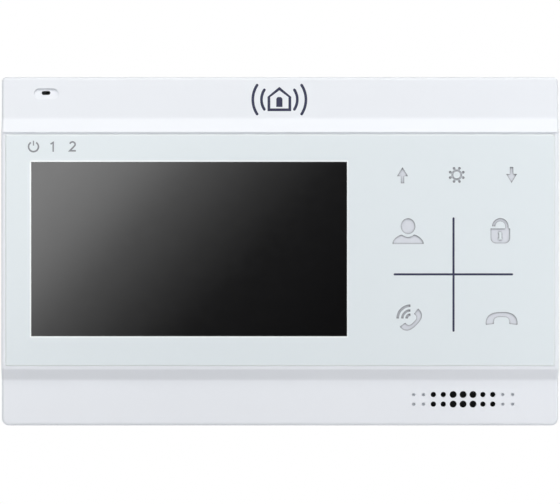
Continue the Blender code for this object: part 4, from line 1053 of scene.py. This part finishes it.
def makeFrontPanel():
    low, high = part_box("front_glass")
    trim = panel["trim"]
    bm = bmesh.new()
    addSlab(bm, (low.x, low.z + trim), (high.x, high.z - trim), low.y, high.y, panel["corner"])
    roundFace(bm, low.y, panel["edge"], 1)
    piece = fromBmesh("frontPanel", bm, "glassPrint", "glassEdge")
    for face in piece.data.polygons:
        face.material_index = 0 if face.normal.y < -0.99 else 1
    window = (panel["screenLow"], panel["screenHigh"])
    legends = [moved(arrow(1), (38.2, 23.7)), moved(arrow(-1), (72.2, 23.8)), moved(handset(), (69.1, -22.7))]
    legends += [moved(part, (55.1, 23.8)) for part in gear()] + person() + padlock() + talking()
    for name, outlines, depth, material in (
            ("windowLine", [frameOf(*window, panel["lineWidth"])], panel["lineSink"], "glassEdge"),
            ("window", [frameOf(*window)], panel["screenSink"], "screenBlack"),
            ("legends", map(scaled, legends), panel["legendSink"], "legendGrey"),
            ("cross", [crossOutline()], panel["inkSink"], "printNavy"),
            ("statusMarks", map(scaled, statusOutlines()), panel["inkSink"], "statusGrey")):
        carve(piece, flatShape(name, outlines, low.y - reach["clear"], low.y + depth, material))
    settle(piece, "monitor", "front_glass", "front_glass")


# rear shell, wall plate and label

rear = inMm({
    "corner": 3.0, "backRound": 2.2, "frontEase": 0.15, "frontY": -9.2, "floorY": -3.5, "wallInset": 2.5,
    "roomCorner": 1.0, "hookCorner": 0.5,
    "tongueInset": 1.5, "tongueY": -11.2, "tongueCorner": 1.6, "tongueBack": 2.0,
    "recess": ((-60.6, -43.1), (60.6, 38.6)), "recessY": -1.5, "recessCorner": 3.0,
    "bay": ((-28.0, -31.0), (28.0, -9.0)), "bayCorner": 1.2, "openingY": -6.0,
    "vents": {"Count": 13, "Pitch": 4.0, "Width": 1.8, "Height": 7.5, "Corner": 0.864, "Depth": 8.0},
    "ventPlace": (0.0, 2.0, 44.5),
    "boss": 3.5, "bossEnd": 0.4, "well": 3.1, "wellY": -3.0, "screwHole": 1.7, "screwHoleY": -12.0,
    "knobSlot": (-90.0, -83.0), "knobGap": 0.3, "knobTravel": 2.5,
    "hookGap": (1.0, 0.3, 0.5),   # beside, above and below each hook
    "lift": 4.5,                  # how far the monitor rises to come off its hooks
})
plate = inMm({
    "thick": 1.2, "corner": 4.0, "ease": 0.14,
    "hooks": [(x, z) for x in (-48.0, 48.0) for z in (22.0, -18.0)],
    "hookHalf": 4.0, "lip": 4.0, "lipY": (-5.1, -3.9), "hookRoot": -0.6,
    "bend": 0.9, "innerBend": 0.35, "tipRound": 0.4,
    "gap": 0.5, "gapDrop": (7.5, 1.5), "gapCorner": 0.6,    # opening each hook is folded out of
    "opening": ((-30.0, -34.0), (30.0, -6.0)), "openingCorner": 3.0, "openingY": -3.0,
    "slots": [(-30.0, 3.0), (30.0, 3.0), (-50.0, 32.0), (50.0, 32.0), (-50.0, -32.0), (50.0, -32.0)],
    "slotSize": (8.0, 3.8),
})


def makeRearShell(slotTree):
    low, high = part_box("rear_cover")
    front, floor, past = rear["frontY"], rear["floorY"], reach["rear"]
    bm = bmesh.new()
    addSlab(bm, (low.x, low.z), (high.x, high.z), front, high.y, rear["corner"], 8)
    roundFace(bm, high.y, rear["backRound"], 6)
    roundFace(bm, front, rear["frontEase"], 1)
    piece = fromBmesh("rearShell", bm, "coverWhite")
    carve(piece, slabTool(*grown(low, high, -rear["tongueInset"]), rear["tongueY"], front + rear["tongueBack"],
                          rear["tongueCorner"]), operation="UNION")
    carve(piece, slabTool(*grown(low, high, -rear["wallInset"]), reach["front"], floor, rear["roomCorner"]))

    def atScrews(yFront, yBack, radius):
        return [(addRod, (spot, yFront, yBack, radius)) for spot in shell["coverScrews"]]

    carve(piece, solids("bosses", atScrews(front, floor + rear["bossEnd"], rear["boss"])), operation="UNION")
    carve(piece, slabTool(*rear["recess"], rear["recessY"], past, rear["recessCorner"]))

    start = rear["openingY"]
    beside, above, below = rear["hookGap"]
    half, drop = plate["hookHalf"] + beside, plate["thick"] + rear["lift"] + below
    openings = [(addSlab, (*rear["bay"], start, past, rear["bayCorner"]))]
    openings += [(addSlab, ((x - half, z - drop), (x + half, z + above), start, past, rear["hookCorner"], 3))
                 for x, z in plate["hooks"]]
    carve(piece, solids("openings", openings + atScrews(rear["screwHoleY"], past, rear["screwHole"])))
    carve(piece, runTree("vents", slotTree, {**rear["vents"], "Place": rear["ventPlace"]}, "coverWhite"))
    carve(piece, solids("wells", atScrews(rear["wellY"], past, rear["well"])))
    knobLow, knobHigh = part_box("power_slider")
    (x0, x1), gap = rear["knobSlot"], rear["knobGap"]
    carve(piece, slabTool((x0, knobLow.z - gap), (x1, knobHigh.z + rear["knobTravel"] + gap),
                          rear["screwHoleY"], knobHigh.y + gap))
    settle(piece, "monitor", "housing", "rear_cover")


def makeHookPlate():
    low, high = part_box("wall_plate")
    thick, half, tip = plate["thick"], plate["hookHalf"], plate["tipRound"]
    inner, bend = plate["innerBend"], plate["bend"]
    piece = slabTool((low.x, low.z), (high.x, high.z), -thick, 0.0, plate["corner"], 8, "hookPlate")
    piece.data.materials.append(finish["plateSteel"])
    lipFront, lipBack = plate["lipY"]
    hooks = []
    for x, z in plate["hooks"]:
        top = z + plate["lip"] - tip
        outline = [(plate["hookRoot"], z - thick), (plate["hookRoot"], z)]
        outline += arc((lipBack + inner, z + inner), (inner, inner), 270, 180, 4)
        outline += arc((lipBack - tip, top), (tip, tip), 0, 90, 4)
        outline += arc((lipFront + tip, top), (tip, tip), 90, 180, 4)
        outline += arc((lipFront + bend, z - thick + bend), (bend, bend), 180, 270, 6)
        hooks.append((addPrism, [[(side, y, h) for y, h in outline] for side in (x - half, x + half)]))
    carve(piece, solids("hooks", hooks), operation="UNION")
    start, past = plate["openingY"], reach["rear"]
    slot = halved(plate["slotSize"])
    side, (deepest, highest) = half + plate["gap"], plate["gapDrop"]
    openings = [(addSlab, (*plate["opening"], start, past, plate["openingCorner"], 8))]
    openings += [(addSlab, (*around(spot, slot), start, past, slot[1] * 0.97, 8)) for spot in plate["slots"]]
    openings += [(addSlab, ((x - side, z - deepest), (x + side, z - highest), start, past,
                            plate["gapCorner"], 4)) for x, z in plate["hooks"]]
    carve(piece, solids("openings", openings))
    easeEdges(piece, plate["ease"])
    settle(piece, "wall_plate", "sheet_steel", "wall_plate")


label = inMm({"corner": 1.0, "margin": 1.0, "line": 0.25, "sink": 0.02, "cells": 5})


def makeLabel():
    low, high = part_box("rating_label")
    piece = slabTool((low.x, low.z), (high.x, high.z), low.y, high.y, label["corner"], 6, "ratingLabel")
    piece.data.materials.append(finish["labelPaper"])
    line = label["line"]
    (x0, z0), (x1, z1) = grown(low, high, -label["margin"])
    step = (z1 - z0 - line) / label["cells"]
    outlines = [frameOf((x0, z0), (x1, z1))]
    for k in range(label["cells"]):
        outlines.append(frameOf((x0 + line, z0 + line + k * step), (x1 - line, z0 + k * step + step)))
    carve(piece, flatShape("labelInk", outlines, high.y - label["sink"], high.y + reach["clear"], "statusGrey"))
    settle(piece, "monitor", "label", "rating_label")


# terminals, switch knob and screws

terminal = inMm({"pins": {"door_terminal_1": 4, "door_terminal_2": 4, "monitor_terminal": 4,
                          "power_terminal": 2},
                 "wall": 0.8, "floor": 1.0, "key": (1.0, 1.5), "keyY": 2.0, "pinThick": 0.6, "pinTip": 0.5,
                 "pinBelow": 0.2, "pinShort": 1.1, "shoulder": 3.5, "ease": 0.10,
                 "corner": 0.25, "mouthCorner": 0.2})


def makeTerminals(pinTree):
    bodies, mouths, keys, pins = [], [], [], []
    past, root = reach["rear"], terminal["floor"] - terminal["pinBelow"]
    for name, count in terminal["pins"].items():
        low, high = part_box(name)
        middle = (low.x + high.x) / 2
        bodies.append((addSlab, (*grown(low, high, 0.0), low.y, high.y, terminal["corner"], 3)))
        mouths.append((addSlab, (*grown(low, high, -terminal["wall"]), low.y + terminal["floor"], high.y + past,
                                 terminal["mouthCorner"], 3)))
        wide, deep = terminal["key"]
        keys.append((addSlab, ((middle - wide, high.z - deep), (middle + wide, high.z + reach["clear"]),
                               low.y + terminal["keyY"], high.y + past)))
        length = high.y - terminal["pinShort"] - terminal["pinTip"] - (low.y + root)
        pins.append(runTree("pins", pinTree, {
            "Count": count, "Pitch": (high.x - low.x - terminal["shoulder"]) / (count - 1),
            "Thick": terminal["pinThick"], "Length": length, "Tip": terminal["pinTip"],
            "Place": (middle, low.y + root + length / 2, (low.z + high.z) / 2)}, "pinTin"))
    piece = solids("terminalHousings", bodies, "nylonCream")
    carve(piece, solids("mouths", mouths))
    carve(piece, solids("keys", keys))
    easeEdges(piece, terminal["ease"])
    settle(piece, "monitor", "connector", *terminal["pins"])
    bm = bmesh.new()
    for row in pins:
        bm.from_mesh(row.data)
        bpy.data.objects.remove(row, do_unlink=True)
    joined = fromBmesh("terminalPins", bm, "pinTin")
    settle(joined, "monitor", "connector", angle=25)


knob = inMm({"ease": 0.28, "grooveHalf": 0.225, "grooveStep": 1.15, "grooveDeep": 0.35})


def makeKnob():
    low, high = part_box("power_slider")
    bm = bmesh.new()
    addBlock(bm, low, high)
    roundOff(bm, lambda e: any(v.co.x < low.x + 0.01 * mm for v in e.verts), knob["ease"], 4)
    piece = fromBmesh("powerKnob", bm, "switchBlack")
    half, deep, clear = knob["grooveHalf"], knob["grooveDeep"], reach["clear"]
    profile = [(-clear, -half * 2), (0.0, -half), (deep, -half * 0.3), (deep, half * 0.3), (0.0, half),
               (-clear, half * 2)]
    grooves = []
    for k in (-1, 0, 1):
        outline = moved(profile, (low.x, (low.z + high.z) / 2 + k * knob["grooveStep"]))
        grooves.append((addPrism, [[(x, y, z) for x, z in outline] for y in (low.y - clear, high.y + clear)]))
    carve(piece, solids("grooves", grooves))
    settle(piece, "power_slider", "black_plastic", "power_slider")


screws = inMm({
    # number of them, head height, shank and tip radius
    "kinds": {"cover": (4, 1.6, 1.2, 0.84), "board": (4, 1.4, 1.0, 0.70), "bracket": (2, 0.8, 0.8, 0.56)},
    "pitch": 1.0, "threadDeep": 0.20, "threadStart": 0.4, "pointStart": 0.5, "plainEnd": 0.6,
    "sides": 28, "seed": 5,
})
recessDraft = 0.6                 # the recess is this much narrower at its floor


def screwProfile(head, height, length, shank, tip):
    # (radius, y) from the crown down to the point, the head's underside at zero
    pitch = screws["pitch"]
    profile = [(0.0, height)]
    for angle in (20, 38, 54, 68, 80, 90):
        a = math.radians(angle)
        profile.append((head * math.sin(a), height * (0.45 + 0.55 * math.cos(a))))
    profile += [(head, 0.06 * height), (head * 0.96, 0.0), (shank * 1.05, 0.0)]
    turns = int((length - screws["plainEnd"]) / pitch)
    for k in range(turns):
        start = screws["threadStart"] + k * pitch
        crest = shank + (tip - shank) * k / max(1, turns - 1)
        root = crest - screws["threadDeep"]
        profile += [(root, -start), (root, -start - 0.35 * pitch), (crest, -start - 0.55 * pitch),
                    (root, -start - 0.80 * pitch)]
    return profile + [(tip * 0.6, -length + screws["pointStart"]), (0.0, -length)]


def screwModel(name, head, height, *shape):
    # pan head with a cross recess and a thread, its axis along Y
    bm = bmesh.new()
    sides = screws["sides"]
    rings = []
    for radius, y in screwProfile(head, height, *shape):
        angles = [2 * math.pi * k / sides for k in range(sides if radius else 1)]
        rings.append([bm.verts.new((radius * math.cos(a), y, radius * math.sin(a))) for a in angles])
    for a, b in zip(rings, rings[1:]):
        for k in range(sides):
            j = (k + 1) % sides
            corners = [a[k % len(a)], a[j % len(a)], b[j % len(b)], b[k % len(b)]]
            bm.faces.new(list(dict.fromkeys(corners)))
    bmesh.ops.recalc_face_normals(bm, faces=bm.faces)
    model = fromBmesh(name, bm, "screwZinc")
    arm, half, deep = head * 0.52, head * 0.135, height * 0.42
    bm = bmesh.new()
    for x, z in ((arm, half), (half, arm)):
        for vert in addBlock(bm, (-x, deep, -z), (x, height * 1.5, z)):
            if vert.co.y < deep * 1.01:
                vert.co.x *= recessDraft
                vert.co.z *= recessDraft
    carve(model, fromBmesh("recess", bm), selfCrossing=True)
    smoothPiece(model, 35)
    return model


def makeScrews(scatterTree):
    for kind, (count, height, shank, tip) in screws["kinds"].items():
        names = ["%s_screw_%d" % (kind, k + 1) for k in range(count)]
        low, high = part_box(names[0])
        model = screwModel(kind + "ScrewModel", (high.x - low.x) / 2, height, high.y - low.y - height, shank,
                           tip)
        places = [((a.x + b.x) / 2, b.y - height, (a.z + b.z) / 2) for a, b in map(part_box, names)]
        piece = runTree(kind + "Screws", scatterTree, {"Model": model, "Seed": screws["seed"]}, "screwZinc",
                        places)
        bpy.data.objects.remove(model, do_unlink=True)
        ride(piece, "monitor", "screw", *names)


# CAD pieces that keep their shape and take a finish

carriedFinish = {
    "foamTape": ["glass_tape"],
    "milkAcrylic": ["key_diffuser", "status_light_guide", "lcd_backlight"],
    "screenBlack": ["lcd_panel"],
    "traySteel": ["lcd_frame", "lcd_bracket", "shield_can", "crystal", "speaker_magnet"],
    "boardGreen": ["main_board", "touch_board", "status_board"],
    "ribbonFilm": ["lcd_flex", "touch_cable"],
    "chipBlack": ["processor", "memory_chip", "audio_amplifier", "inductor"],
    "canAluminium": ["capacitor_1", "capacitor_2"],
    "switchBlack": ["power_switch_body", "speaker_frame"],
    "paperCone": ["speaker_cone", "microphone_capsule"],
    "softRubber": ["speaker_gasket", "microphone_boot"],
    "wireJacket": ["speaker_lead", "microphone_lead"],
    "ledLens": [name for name in nodes if "_led_" in name],
}


def dressCarried():
    for look, names in carriedFinish.items():
        for name in names:
            for holder in nodes[name].material_slots:
                holder.material = finish[look]
        print("stage:", look, "on", len(names), "carried pieces")


# floor

floorLook = {"size": 2.6, "drop": 0.16,               # drop from the lowest edge of the body
             "fade": (0.10, 1.05), "least": 0.42}     # how the paper runs into the white backdrop


def fadeFloor(material):
    # seen by the lens the floor turns white with distance; the light it gives back stays as it is
    tree = material.node_tree
    place = (add(tree, "ShaderNodeTexCoord"), "Object")
    fade = spread(tree, add(tree, "ShaderNodeVectorMath", {0: place}, operation="LENGTH"), *floorLook["fade"],
                  floorLook["least"], interpolation_type="SMOOTHSTEP")
    lens = add(tree, "ShaderNodeLightPath")
    both = add(tree, "ShaderNodeMixShader", {
        "Fac": calculate(tree, "MULTIPLY", fade, (lens, "Is Camera Ray")), 1: tree.nodes["Principled BSDF"],
        2: add(tree, "ShaderNodeEmission")})
    feed(tree, tree.nodes["Material Output"].inputs["Surface"], both)


def makeFloor():
    half = floorLook["size"] / 2
    z = cadBox[0].z - floorLook["drop"]
    bm = bmesh.new()
    bm.faces.new([bm.verts.new((x, y, z)) for x, y in frameOf((-half, -half), (half, half))])
    fadeFloor(finish["floorPaper"])
    fromBmesh("floor", bm, "floorPaper")


makeStudio()
makeFloor()
makeFrontShell(makeGrilleTree())
makeFrontPanel()
makeRearShell(makeSlotRowTree())
makeHookPlate()
makeLabel()
makeTerminals(makePinRowTree())
makeKnob()
makeScrews(makeScatterTree())
dressCarried()
